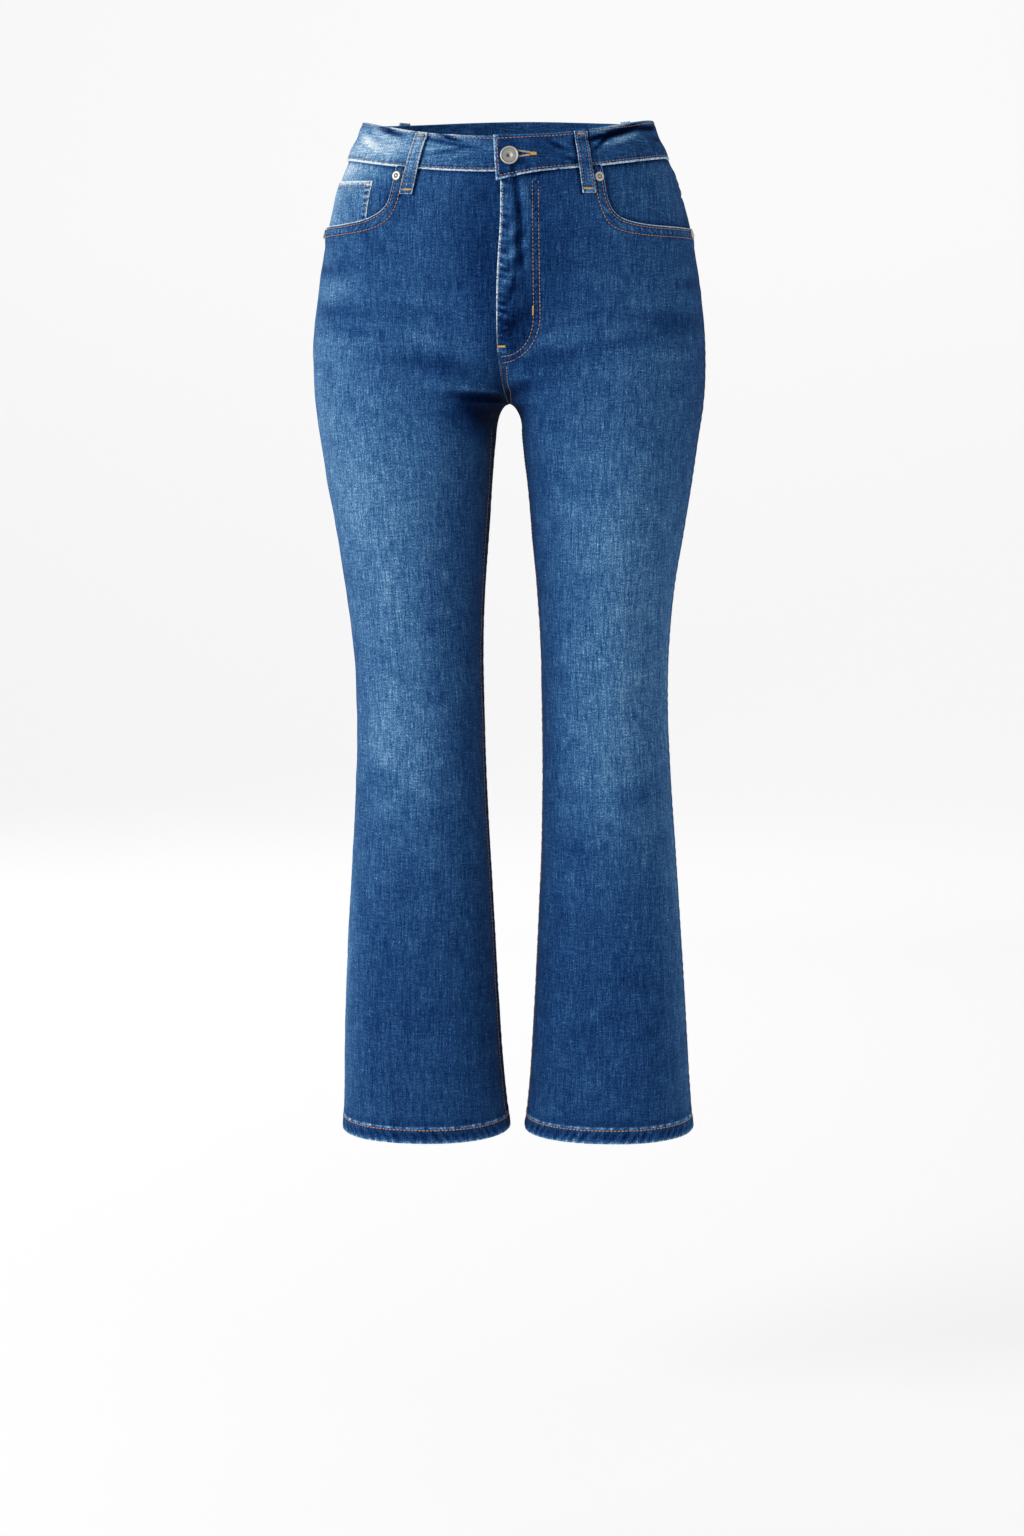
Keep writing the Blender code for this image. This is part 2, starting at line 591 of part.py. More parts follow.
def belt_loop(name, side, face, top_x, low_x, material):
    """A folded strip from over the band's top edge to below its seam."""
    middle_s = face * (1 - top_x / (150 * MM) * 2 / math.pi)
    top = float(band_top(middle_s)) + LOOP_OVER_TOP
    low = float(band_seam(middle_s)) - LOOP_BELOW_SEAM
    down = np.array([0, 0.12, 0.3, 0.5, 0.68, 0.86, 1.0])[:, None]
    z = top + (low - top) * down
    middle = s_at_x(side, face, top_x + (low_x - top_x) * down, z)
    across = bare_point(side, middle + 0.01, z) - bare_point(side, middle - 0.01, z)
    per_s = np.linalg.norm(across, axis=-1) / 0.02
    s = middle + np.array([0.5, 0, -0.5]) * LOOP_WIDTH / per_s
    z = z + 0 * s
    on_band = BAND_OUT + GAP
    lift = np.interp(
        down, [0, 0.12, 0.3, 0.5, 0.68, 0.86, 1.0],
        [on_band, on_band + 0.5 * LOOP_CLEAR, on_band + LOOP_CLEAR, on_band + LOOP_CLEAR, on_band + 0.5 * MM, 1.1 * MM, 1.5 * GAP],
    )
    on_panel = MOUTH_OUT * mouth_share(side, s, z) if face > 0 else 0
    lift = lift + on_panel * smooth((band_seam(middle_s) - z) / (8 * MM))
    cloth_piece(name, side, s, z, lift + LOOP_THICK, lift, material)


def waist_button(material):
    """A pressed cap with a rim round its dished middle, on a short shank."""
    r = BUTTON_R
    profile = (
        (0, 2.7 * MM), (0.2 * r, 2.7 * MM), (0.3 * r, 3.1 * MM), (0.76 * r, 3.2 * MM), (0.86 * r, 3.6 * MM),
        (0.97 * r, 3.1 * MM), (r, 2.2 * MM), (0.95 * r, 1.5 * MM), (0.42 * r, 1.2 * MM), (0.42 * r, 0), (0, 0),
    )
    s = float(s_at_x(1, 1, BUTTON_X, BUTTON_Z))
    turned("waist_button", 1, s, BUTTON_Z, OVER_LIFT + BAND_OUT + GAP, profile, 24, material)


def rivet(name, side, x, z, material):
    """A burr with a ring pressed round its centre."""
    r = RIVET_R
    profile = (
        (0, 1.5 * MM), (0.22 * r, 1.4 * MM), (0.3 * r, 0.9 * MM), (0.42 * r, 0.9 * MM), (0.52 * r, 1.3 * MM),
        (0.84 * r, 1.2 * MM), (r, 0.6 * MM), (r, 0), (0, 0),
    )
    s = float(s_at_x(side, 1, x, z))
    turned(name, side, s, z, MOUTH_OUT + 1.5 * GAP, profile, 14, material)


def main():
    for leftover in list(bpy.data.objects):
        bpy.data.objects.remove(leftover)
    denim = finish("denim", (0.055, 0.145, 0.33), 0.85)
    nickel = finish("antique_nickel", (0.55, 0.54, 0.52), 0.35, 1.0)

    waistband(denim)
    for word, side in (("right", -1), ("left", 1)):
        front_panel(f"front_panel_{word}", side, denim)
        back_panel(f"back_panel_{word}", side, denim)
        yoke(f"back_yoke_{word}", side, denim)
        pocket_underlay(f"pocket_underlay_{word}", side, denim)
        patch_pocket(f"back_pocket_{word}", side, denim)
    fly_facing(denim)
    coin_pocket(denim)
    for name, (side, face, top_x, low_x) in LOOPS.items():
        belt_loop(name, side, face, top_x, low_x, denim)
    waist_button(nickel)
    for name, (side, x, z) in RIVETS.items():
        rivet(name, side, x, z, nickel)


main()
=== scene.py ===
"""High-waisted cropped jeans in washed indigo stretch denim, put together piece by piece.

Metres, +Z up. The front faces -Y and the wearer's left is +X. A place on the cloth has
  side    -1 on the wearer's right half, 1 on the left half
  s       0 at the side seam, 1 at the front centre or inseam, -1 at the back centre or inseam
  z       height
and each piece of cloth is a thin shell between two lifts, which are distances out of that surface.
"""

import math

import bpy
import numpy as np
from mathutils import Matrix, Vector


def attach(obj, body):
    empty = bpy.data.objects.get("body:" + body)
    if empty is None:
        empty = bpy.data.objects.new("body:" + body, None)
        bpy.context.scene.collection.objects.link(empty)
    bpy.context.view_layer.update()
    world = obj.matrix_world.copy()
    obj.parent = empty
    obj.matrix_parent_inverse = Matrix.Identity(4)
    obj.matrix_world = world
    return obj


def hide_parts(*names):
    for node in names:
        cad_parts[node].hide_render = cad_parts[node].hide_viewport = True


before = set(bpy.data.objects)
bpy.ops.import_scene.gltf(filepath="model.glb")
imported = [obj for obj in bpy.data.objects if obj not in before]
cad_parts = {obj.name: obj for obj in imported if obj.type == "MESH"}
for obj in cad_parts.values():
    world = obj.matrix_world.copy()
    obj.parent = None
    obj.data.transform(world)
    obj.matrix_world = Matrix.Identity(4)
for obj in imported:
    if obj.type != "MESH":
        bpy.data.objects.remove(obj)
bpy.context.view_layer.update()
MM = 0.001


# --- Fronts ---------------------------------------------------------------------------------
# The two front panels, cut from 12 oz indigo stretch denim. The left one's grown-on fly laps
# over the right one. Each pocket mouth is scooped out and turned under, and the hem is turned
# up twice. The cloth's form, the denim itself and the sewing are worked out here first.

CLOTH = 1.2 * MM
GAP = 0.3 * MM
INTO_BAND = 1.3 * MM  # how far the panels' tops run up inside the band
HEM_Z = {-1: -893 * MM, 1: -890 * MM}
CROTCH_Z = -231 * MM
WAIST_TO_HIP = (-60 * MM, CROTCH_Z)
ROUND_OF_LEG = (-90 * MM, -300 * MM)
LEGS_PART = (-140 * MM, -245 * MM)
FRONT_RISE, BACK_RISE = 75 * MM, 135 * MM
ARCH = 26 * MM
ROUNDNESS = 2.2
NOTCH_LOW, NOTCH_HIGH = 1.8, 3.4
MM_PER_S = 225 * MM  # about how far one whole step of s is, round the cloth
HALF_WAIST, HALF_FRONT = 150 * MM, 165 * MM

SECTION_COLUMNS = (
    "height", "right_out", "right_in", "left_in", "left_out", "front", "back", "seam", "inseam",
)
SECTIONS_MM = (
    (40, -118, -13, 13, 118, -90, 88, 0, 10),
    (18, -128, -13, 13, 128, -94, 92, 0, 10),
    (8, -132.5, -13, 13, 131.5, -96, 94, 1, 10),
    (-6, -140, -13, 13, 138.5, -99, 98, 1, 10),
    (-17, -144, -13, 13, 142.5, -102, 101, 2, 10),
    (-29, -149.5, -13, 13, 148.5, -104, 104, 3, 10),
    (-42, -154, -13, 13, 152.5, -106, 107, 4, 10),
    (-68, -160, -13, 13, 160, -108.5, 113, 5, 10),
    (-103, -167, -13, 13, 167, -110, 120, 6, 10),
    (-140, -172.5, -13, 13, 172.5, -110, 125, 7, 10),
    (-190, -176, -13, 13, 176, -108, 127, 7, 10),
    (-231, -174, -13, 13, 174.5, -105, 121, 6, 10),
    (-263, -169, -13.5, 13.5, 170, -103, 111, 4, 7),
    (-299, -163, -15.5, 17.5, 165, -100, 100, 2, 3),
    (-344, -155, -18, 22, 158, -96, 89, 0, -1),
    (-398, -146, -21.5, 27, 149.5, -89, 79, -3, -4),
    (-453, -139.5, -23, 30.5, 145, -81, 70, -4, -5),
    (-507, -137, -22, 31.5, 144.5, -75, 64, -4, -5),
    (-562, -138, -20.5, 32, 147, -71, 63, -3, -4),
    (-627, -141.5, -17.5, 31, 151.5, -69, 66, -1, -2),
    (-700, -146, -13.5, 28, 156.5, -70, 70, 0, 0),
    (-775, -149.5, -9.5, 24.5, 161.5, -73, 74, 0, 0),
    (-849, -151, -4, 20, 166, -76.5, 77, 0, 0),
    (-900, -152.5, 1.5, 15, 170, -79, 79, 0, 0),
)

# Creases of the worn cloth, in mm and degrees. A negative tilt rises towards the side seam.
FOLD_COLUMNS = ("side", "face", "s", "height", "length", "tilt", "width", "depth")
FOLDS = (
    # left of the crotch and its like on the right
    (-1, 1, 0.84, -226, 56, -4, 4.4, -2.8),
    (1, 1, 0.84, -219, 50, -16, 6, -1.5),
    (-1, 1, 0.83, -218, 60, -3, 1.7, 1.3),
    (-1, 1, 0.86, -240, 42, -22, 5, -1.2),
    (1, 1, 0.88, -238, 36, -30, 5, -0.9),
    # pulls from the hips towards the crotch
    (-1, 1, 0.66, -196, 60, -12, 9, -1.2),
    (1, 1, 0.70, -192, 55, -14, 9, -1.1),
    (-1, 1, 0.25, -150, 70, -6, 9, -1.1),
    (1, 1, 0.28, -160, 65, 5, 10, -1.0),
    (-1, 1, 0.30, -128, 60, 4, 8, 0.9),
    (-1, 1, 0.22, -176, 64, -3, 4, 0.7),
    (-1, 1, 0.40, -168, 48, -8, 4, -0.6),
    (-1, 1, 0.14, -196, 40, -5, 4, -0.6),
    (-1, 1, 0.17, -113, 44, -10, 5, -0.7),
    (1, 1, 0.18, -126, 46, -6, 5, -0.6),
    (1, 1, 0.46, -178, 56, -12, 5, -0.6),
    (1, 1, 0.24, -190, 42, -4, 4, 0.5),
    (1, 1, 0.62, -158, 34, -20, 4, -0.5),
    (-1, 1, 0.62, -150, 40, -18, 5, -0.5),
    # the fly's own crease, and the puckers at its edge
    (1, 1, 0.922, -66, 60, 84, 2.6, -2.5),
    (1, 1, 0.912, -100, 44, 74, 2.6, -1.5),
    (1, 1, 0.925, -132, 40, 98, 2.8, -1.1),
    (1, 1, 0.940, -90, 66, 88, 2.2, 1.4),
    (1, 1, 0.885, -58, 40, 76, 2.4, 0.8),
    (1, 1, 0.955, -139, 15, -10, 1.7, 1.0),
    (1, 1, 0.955, -148, 15, -16, 1.7, 1.2),
    (1, 1, 0.955, -159, 16, -24, 1.7, 1.2),
    (1, 1, 0.960, -170, 16, -36, 2.0, 1.1),
    (1, 1, 0.950, -120, 14, -6, 1.8, 0.8),
    # knees and lower legs
    (-1, 1, 0.30, -566, 70, 14, 14, -0.35),
    (1, 1, 0.34, -580, 74, -14, 15, -0.40),
    (-1, 1, 0.66, -604, 58, -16, 12, -0.30),
    (1, 1, 0.68, -626, 60, 12, 12, -0.30),
    (-1, 1, 0.30, -450, 60, 8, 14, -0.30),
    # behind the crotch, under the seat
    (-1, -1, 0.62, -262, 85, -14, 8, -1.9),
    (1, -1, 0.64, -268, 78, -17, 7, -1.8),
    (-1, -1, 0.55, -292, 80, -10, 7, -1.3),
    (1, -1, 0.53, -300, 84, -12, 8, -1.4),
    (-1, -1, 0.70, -278, 50, -22, 5, -1.0),
    (1, -1, 0.68, -282, 55, -24, 5, -1.1),
    (-1, -1, 0.36, -318, 60, -6, 8, -0.9),
    (1, -1, 0.40, -326, 56, -4, 8, -0.8),
    # behind the knees
    (-1, -1, 0.52, -478, 80, -15, 7, -1.6),
    (1, -1, 0.46, -486, 76, 16, 7, -1.5),
    (-1, -1, 0.46, -512, 88, 9, 8, -1.9),
    (1, -1, 0.54, -521, 80, -11, 8, -1.8),
    (-1, -1, 0.56, -548, 66, -14, 7, -1.2),
    (1, -1, 0.44, -557, 74, 13, 7, -1.3),
    (-1, -1, 0.30, -496, 44, -24, 5, -1.1),
    (1, -1, 0.34, -500, 40, 22, 5, -1.0),
    (-1, -1, 0.66, -530, 42, 20, 5, -1.0),
    (1, -1, 0.62, -536, 40, -22, 5, -0.9),
    (-1, -1, 0.44, -584, 60, 6, 8, -0.9),
    (1, -1, 0.55, -590, 56, -5, 8, -0.9),
    # waistband: buckles where the body bends, and pulls beside the button
    (1, 1, 0.46, 3.2, 70, -11.5, 2.2, -4.2),
    (1, 1, 0.19, 9.5, 56, -3, 1.9, -3.1),
    (1, 1, 0.55, -5, 26, -32, 1.8, -1.9),
    (1, 1, 0.44, -2.5, 56, -12, 3.0, 1.9),
    (1, 1, 0.10, 1, 36, -4, 2.4, -1.0),
    (-1, 1, 0.10, 4, 34, -6, 2.6, -1.0),
    (-1, 1, 0.48, 6, 44, -14, 2.3, -2.4),
    (-1, 1, 0.36, -3, 40, -16, 3.0, 0.9),
    (-1, 1, 0.72, -3, 34, -12, 1.7, -1.2),
    (-1, 1, 0.81, -3, 26, -17, 1.6, -2.3),
    (-1, 1, 0.84, -9, 24, -10, 1.6, -1.3),
    (-1, 1, 0.80, -14, 30, 8, 1.8, -0.8),
    (1, 1, 0.76, -10, 24, 22, 2.0, -1.0),
    (1, 1, 0.70, -22, 26, 16, 2.2, -0.9),
    (1, -1, 0.30, 6, 44, 6, 2.6, -0.9),
    (-1, -1, 0.34, 5, 48, -6, 2.6, -0.9),
    # hips at the back
    (-1, -1, 0.15, -120, 46, 10, 6, -0.8),
    (1, -1, 0.14, -128, 50, 8, 6, -0.8),
)
CREASE_LIP = 0.4  # how high the cloth is pushed up beside a crease, as a share of its depth


def arrays(*values):
    return np.broadcast_arrays(*(np.asarray(value, float) for value in values))


def smooth(t):
    t = np.clip(t, 0, 1)
    return t * t * (3 - 2 * t)


def share(z, start, end):
    """0 above start, 1 below end, smooth between them."""
    return smooth((start - np.asarray(z, float)) / (start - end))


def bump(distance, width):
    return np.exp(-((np.asarray(distance) / width) ** 2))


def column(name, z):
    """A column of the section table at height z, on a smooth curve through its rows."""
    rows = np.array(SECTIONS_MM, float)[::-1] * MM
    heights, values = rows[:, 0], rows[:, SECTION_COLUMNS.index(name)]
    slopes = np.gradient(values, heights)
    z = np.clip(z, heights[0], heights[-1])
    i = np.clip(np.searchsorted(heights, z) - 1, 0, len(heights) - 2)
    step = heights[i + 1] - heights[i]
    t = (z - heights[i]) / step
    return (
        values[i] * (1 + 2 * t) * (1 - t) ** 2
        + values[i + 1] * t * t * (3 - 2 * t)
        + step * (slopes[i] * t * (1 - t) ** 2 - slopes[i + 1] * t * t * (1 - t))
    )


def bare_point(side, s, z):
    """A point on the smooth surface, with no folds."""
    side, s, z = arrays(side, s, z)
    past, leg = np.abs(s) > 1, z < CROTCH_Z
    turned = np.where(leg, s - 2 * np.sign(s), 2 * np.sign(s) - s)
    side = np.where(past & ~leg, -side, side)
    s = np.where(past, turned, s)

    out = np.where(side > 0, column("left_out", z), -column("right_out", z))
    inner = np.where(side > 0, column("left_in", z), -column("right_in", z))
    below = np.clip((CROTCH_Z - z) / ARCH, 0, 1)
    meant = inner * share(z, *LEGS_PART)
    inner = inner * np.sqrt(1 - (1 - below) ** 2)
    middle, half = (out + meant) / 2, (out - meant) / 2

    in_share = (1 - np.cos(s * math.pi)) / 2
    spacing = share(z, *WAIST_TO_HIP)
    even_x = (1 - spacing) * out * np.cos(s * math.pi / 2) + spacing * (out + (meant - out) * in_share)
    x = even_x + spacing * (inner - meant) * in_share**6

    leg_round = share(z, *ROUND_OF_LEG)
    g = (1 - leg_round) * even_x / out + leg_round * np.maximum(0, (even_x - middle) / half)
    n = ROUNDNESS
    outer_round = np.maximum(0, 1 - np.clip(g, 0, 1) ** n) ** (1 / n)

    rise = np.where(s >= 0, FRONT_RISE, BACK_RISE)
    up = np.clip(1 - (z - CROTCH_Z) / rise, 0, 1)
    open_share = np.sqrt(1 - up**2)
    in_from_edge = np.clip(1 - (even_x - spacing * meant) / (middle - spacing * meant), 0, 1)
    tight = NOTCH_LOW * (1 - share(z, CROTCH_Z, CROTCH_Z - 90 * MM)) + NOTCH_HIGH * smooth(1 - up)
    notch = (1 - open_share**n) * in_from_edge ** (n + tight)
    inner_round = np.maximum(0, 1 - notch) ** (1 / n)

    seam = column("inseam", z) * in_share + column("seam", z) * (1 - in_share)
    depth = np.where(s >= 0, column("front", z), column("back", z))
    y = seam + (depth - seam) * outer_round * inner_round
    return np.stack([side * x, y, z], axis=-1)


def off_centre(side, s, z):
    return np.abs(bare_point(side, s, z)[..., 0])


def normal(side, s, z):
    """The direction out of the cloth."""
    step_s, step_z = 0.012, 2 * MM
    along_s = bare_point(side, s + step_s, z) - bare_point(side, s - step_s, z)
    along_z = bare_point(side, s, z + step_z) - bare_point(side, s, z - step_z)
    n = np.cross(along_z, along_s) * np.asarray(side, float)[..., None]
    return n / np.linalg.norm(n, axis=-1, keepdims=True)


def relief(side, s, z):
    """How far the creases raise the cloth."""
    side, s, z = arrays(side, s, z)
    total = np.zeros(s.shape)
    for fold in FOLDS:
        row = dict(zip(FOLD_COLUMNS, fold))
        across = (np.abs(s) - row["s"]) * MM_PER_S
        up = z - row["height"] * MM
        tilt = math.radians(row["tilt"])
        along = across * math.cos(tilt) + up * math.sin(tilt)
        off = up * math.cos(tilt) - across * math.sin(tilt)
        here = (side == row["side"]) & (np.sign(s + 1e-9) == row["face"])
        fade = smooth(np.abs(s) / 0.12) * smooth((1 - np.abs(s)) / 0.05)
        wide = row["width"] * MM
        lip = CREASE_LIP * bump(off - 1.9 * wide, 1.1 * wide)
        shape = bump(along, 0.5 * row["length"] * MM) * (bump(off, wide) - lip)
        total += np.where(here, shape * fade * row["depth"] * MM, 0)
    return total


# Slow unevenness of cloth that isn't pressed, as crossing waves: how many to a metre across and
# down the cloth, their phase, and their height in mm
WAVES = (
    (6.1, 9.3, 0.4, 0.16), (-9.7, 15.2, 2.1, 0.12), (14.3, 7.9, 4.0, 0.10), (-18.2, -21.7, 1.3, 0.07),
    (23.5, 31.1, 5.2, 0.05), (3.3, -26.4, 3.3, 0.09), (-30.2, 12.8, 0.9, 0.045), (9.4, 44.0, 2.7, 0.04),
)


def unevenness(side, s, z):
    total = 0
    for turns_across, turns_down, phase, height in WAVES:
        total = total + height * MM * np.sin(
            (turns_across * s * MM_PER_S + turns_down * z) * 2 * math.pi + phase + 1.7 * side
        )
    return total * smooth((1 - np.abs(s)) / 0.06) * smooth(np.abs(s) / 0.06)


def skin(side, s, z, lift):
    """A point this far out of the creased surface."""
    side, s, z, lift = arrays(side, s, z, lift)
    raised = lift + relief(side, s, z) + unevenness(side, s, z)
    return bare_point(side, s, z) + normal(side, s, z) * raised[..., None]


def s_at_x(side, face, x, z):
    """The s of the place x metres from the centre plane, by halving."""
    x, z = arrays(x, z)
    low, high = np.zeros(x.shape), np.ones(x.shape)
    for _ in range(26):
        middle = (low + high) / 2
        too_wide = side * bare_point(side, face * middle, z)[..., 0] > x
        low, high = np.where(too_wide, middle, low), np.where(too_wide, high, middle)
    return face * (low + high) / 2


# The grain of the cloth runs down the leg's middle, and upright from there to the waist. A
# place's distance from that line is measured along the cloth.
GRAIN_STEPS = 40
GRAIN_S = np.linspace(0, 1, GRAIN_STEPS + 1)
GRAIN_Z = np.linspace(-910 * MM, 40 * MM, 120)


def grain_table(side, face):
    points = bare_point(side, face * GRAIN_S[None, :], GRAIN_Z[:, None])
    across = np.cumsum(np.linalg.norm(np.diff(points, axis=1), axis=2), axis=1)
    across = np.concatenate([np.zeros((len(GRAIN_Z), 1)), across], axis=1)
    leg_z = np.minimum(GRAIN_Z, CROTCH_Z)
    word = "left" if side > 0 else "right"
    line_x = side * (column(f"{word}_out", leg_z) + column(f"{word}_in", leg_z)) / 2
    x = side * points[..., 0]
    start = [np.interp(at, row[::-1], run[::-1]) for at, row, run in zip(line_x, x, across)]
    return across - np.array(start)[:, None]


GRAIN = {(side, face): grain_table(side, face) for side in (-1, 1) for face in (-1, 1)}


def grain_place(side, s, z):
    """Millimetres across and up the cloth, for the weave to follow."""
    side, s, z = arrays(side, s, z)
    i = np.clip(np.searchsorted(GRAIN_Z, z) - 1, 0, len(GRAIN_Z) - 2)
    j = np.clip((np.abs(s) * GRAIN_STEPS).astype(int), 0, GRAIN_STEPS - 1)
    t = np.clip((z - GRAIN_Z[i]) / (GRAIN_Z[1] - GRAIN_Z[0]), 0, 1)
    u = np.clip(np.abs(s) * GRAIN_STEPS - j, 0, 1)
    across = np.zeros(s.shape)
    for (table_side, face), table in GRAIN.items():
        here = (side == table_side) & ((s >= 0) == (face > 0))
        value = (table[i, j] * (1 - u) + table[i, j + 1] * u) * (1 - t)
        value = value + (table[i + 1, j] * (1 - u) + table[i + 1, j + 1] * u) * t
        apart = 0.6 * table_side + 0.35 * face  # so that no two panels have the same yarns
        across = np.where(here, value * side + apart, across)
    return np.stack([across / MM, z / MM, 0 * z], axis=-1)


# The wash: faded indigo from stones and wear, with painted shade and light. Heights and sizes in mm.
WASH_COLUMNS = ("side", "face", "s", "height", "half_width", "half_length", "strength")
WASH_AND_PAINTED_LIGHT = (
    # thighs and knees, rubbed pale
    (-1, 1, 0.36, -400, 74, 190, 0.165), (-1, 1, 0.42, -545, 46, 66, 0.09),
    (-1, 1, 0.14, -190, 50, 120, 0.14), (-1, 1, 0.40, -300, 80, 60, 0.04),
    (1, 1, 0.40, -430, 70, 180, 0.145), (1, 1, 0.50, -555, 44, 84, 0.08),
    (1, 1, 0.30, -190, 60, 60, 0.05), (1, 1, 0.50, -330, 50, 70, 0.05),
    # inner legs, crotch and the hollows beside the fly, hardly faded, and painted shade in the crotch and
    # hollows
    (-1, 1, 1.00, -420, 30, 240, -0.06), (-1, 1, 0.92, -238, 40, 18, -0.38),
    (1, 1, 1.00, -420, 30, 240, -0.18), (1, 1, 0.95, -232, 30, 18, -0.16),
    (-1, 1, 0.96, -110, 24, 90, -0.16), (1, 1, 0.80, -110, 24, 70, -0.12),
    (1, 1, 0.90, -162, 22, 24, -0.24), (1, 1, 0.00, -180, 34, 120, -0.12),
    # below the knee
    (-1, 1, 1.00, -760, 40, 130, -0.02), (1, 1, 1.00, -760, 30, 130, -0.12),
    (-1, 1, 0.50, -790, 130, 110, -0.06), (1, 1, 0.50, -760, 130, 130, -0.06),
    (1, 1, 0.06, -720, 34, 200, 0.11), (-1, 1, 0.00, -760, 46, 160, 0.25),
    (1, 1, 0.06, -430, 34, 200, 0.05),
    # seat and the backs of the thighs
    (-1, -1, 0.50, -150, 80, 80, 0.13), (1, -1, 0.50, -152, 80, 80, 0.13),
    (-1, -1, 0.45, -400, 66, 150, 0.14), (1, -1, 0.45, -400, 66, 150, 0.14),
    (-1, -1, 1.00, -400, 40, 220, -0.16), (1, -1, 1.00, -400, 40, 220, -0.16),
    (-1, -1, 0.50, -515, 60, 40, -0.05), (1, -1, 0.50, -520, 60, 40, -0.05),
    (-1, -1, 0.50, -790, 130, 110, -0.06), (1, -1, 0.50, -790, 130, 110, -0.06),
    # waistband and pocket; the band on the wearer's right front is painted lighter, as painted light
    (-1, 1, 0.40, -4, 110, 26, 0.38), (-1, 1, 0.05, -45, 50, 34, 0.09),
    (1, 1, 0.86, -20, 34, 26, -0.06), (1, 1, 0.10, 4, 40, 20, -0.03),
)
UNWASHED = 0.445
RIDGE_WEAR, TROUGH_SHADE_AND_DYE = 0.09, 0.15  # lighter for each mm that a crease stands out, darker in it: painted shade and unfaded dye
MOST_RAISED = 2.2  # mm


def wash(side, s, z):
    """How far the indigo has faded, from 0, raw, to 1, white; creases are darker, painted shade and unfaded
    dye.
    """
    side, s, z = arrays(side, s, z)
    faded = np.full(s.shape, UNWASHED)
    for row in WASH_AND_PAINTED_LIGHT:
        place = dict(zip(WASH_COLUMNS, row))
        across = (s - place["face"] * place["s"]) * MM_PER_S / (place["half_width"] * MM)
        up = (z - place["height"] * MM) / (place["half_length"] * MM)
        patch = place["strength"] * np.exp(-(across**2) - up**2)
        faded = faded + np.where(side == place["side"], patch, 0)
    raised = MOST_RAISED * np.tanh(relief(side, s, z) / MM / MOST_RAISED)
    return faded + raised * np.where(raised > 0, RIDGE_WEAR, TROUGH_SHADE_AND_DYE)


# Indigo stretch denim: a 3/1 twill with blue warp over white weft, yarns uneven in thickness,
# stone-washed. It scatters light softly, with a faint fuzz at grazing angles. The dye sits on
# the yarn's skin, so worn ridges and edges go pale. Real yarns are 0.5 mm apart, too fine to
# show from 3 m, so the slubs are drawn at the 1 to 2 mm that the eye reads from there.
DENIM_TONES = (
    (0.00, "#020c28"), (0.20, "#092047"), (0.40, "#1a3d6c"), (0.55, "#315a88"),
    (0.70, "#5884ac"), (0.85, "#9ab7cf"), (1.00, "#dde5ea"),
)
YARN_COLUMNS = ("pattern", "across_mm", "up_mm", "strength", "low", "high")
YARNS = (
    ("warp slubs", 1.3, 15, 0.46, 0, 1),
    ("long warp streaks", 3.6, 90, 0.14, 0, 1),
    ("weft slubs", 8, 1.3, 0.27, 0, 1),
    ("yarn crossings", 1.15, 1.35, 0.68, 0, 1),
    ("cloudy wash", 22, 30, 0.16, 0, 1),
    ("pale knots", 1.2, 4.2, 0.22, 0.67, 0.76),
    ("dark slubs", 1.2, 18, -0.13, 0.60, 0.74),
)
TWILL_MM = 0.9  # across one diagonal rib


def linear(code):
    """The linear light of an sRGB hex colour."""
    parts = [int(code[i : i + 2], 16) / 255 for i in (1, 3, 5)]
    return (*[c / 12.92 if c <= 0.04045 else ((c + 0.055) / 1.055) ** 2.4 for c in parts], 1.0)


def add_node(tree, kind, settings=None, inputs=None, tones=None):
    """Adds a node with its settings. An input takes a value, or a socket to be linked to."""
    made = tree.nodes.new(kind)
    for key, value in (settings or {}).items():
        setattr(made, key, value)
    for key, value in (inputs or {}).items():
        if isinstance(value, bpy.types.NodeSocket):
            tree.links.new(value, made.inputs[key])
        else:
            made.inputs[key].default_value = value
    if tones:
        ramp = made.color_ramp
        while len(ramp.elements) < len(tones):
            ramp.elements.new(0.5)
        for element, (place, code) in zip(ramp.elements, tones):
            element.position, element.color = place, linear(code)
    return made


def new_material(name, finish):
    """A material whose shader has the finish's even values."""
    material = bpy.data.materials.new(name)
    material.use_nodes = True
    shader = material.node_tree.nodes["Principled BSDF"]
    for key, value in finish.items():
        shader.inputs[key].default_value = value
    return material, material.node_tree, shader


denim, tree, shader = new_material("indigo_stretch_denim", {
    "Roughness": 0.95, "IOR": 1.3, "Specular IOR Level": 0.10, "Specular Tint": linear("#8fb4e6"),
    "Sheen Weight": 0.05, "Sheen Roughness": 0.4, "Sheen Tint": linear("#7fb0ea"),
})
place = add_node(tree, "ShaderNodeAttribute", {"attribute_name": "grain"}).outputs["Vector"]
wear = add_node(
    tree, "ShaderNodeSeparateXYZ", None,
    {0: add_node(tree, "ShaderNodeAttribute", {"attribute_name": "wear"}).outputs["Vector"]},
)
tone = wear.outputs["X"]
drawn = {}
for number, row in enumerate(YARNS):
    yarn = dict(zip(YARN_COLUMNS, row))
    stretched = add_node(
        tree, "ShaderNodeVectorMath", {"operation": "MULTIPLY_ADD"},
        {
            0: place, 1: (1 / yarn["across_mm"], 1 / yarn["up_mm"], 1),
            2: (17.3 * number, 5.1 * number, 3.7 * number),
        },
    )
    noise = add_node(
        tree, "ShaderNodeTexNoise", None,
        {"Vector": stretched.outputs[0], "Scale": 1.0, "Detail": 2.0, "Roughness": 0.55},
    ).outputs["Fac"]
    drawn[yarn["pattern"]] = noise
    if yarn["low"] > 0:
        noise = add_node(
            tree, "ShaderNodeMapRange", None,
            {"Value": noise, "From Min": yarn["low"], "From Max": yarn["high"]},
        ).outputs["Result"]
    else:
        noise = add_node(tree, "ShaderNodeMath", {"operation": "SUBTRACT"}, {0: noise, 1: 0.5}).outputs[0]
    tone = add_node(
        tree, "ShaderNodeMath", {"operation": "MULTIPLY_ADD"}, {0: noise, 1: yarn["strength"], 2: tone}
    ).outputs[0]

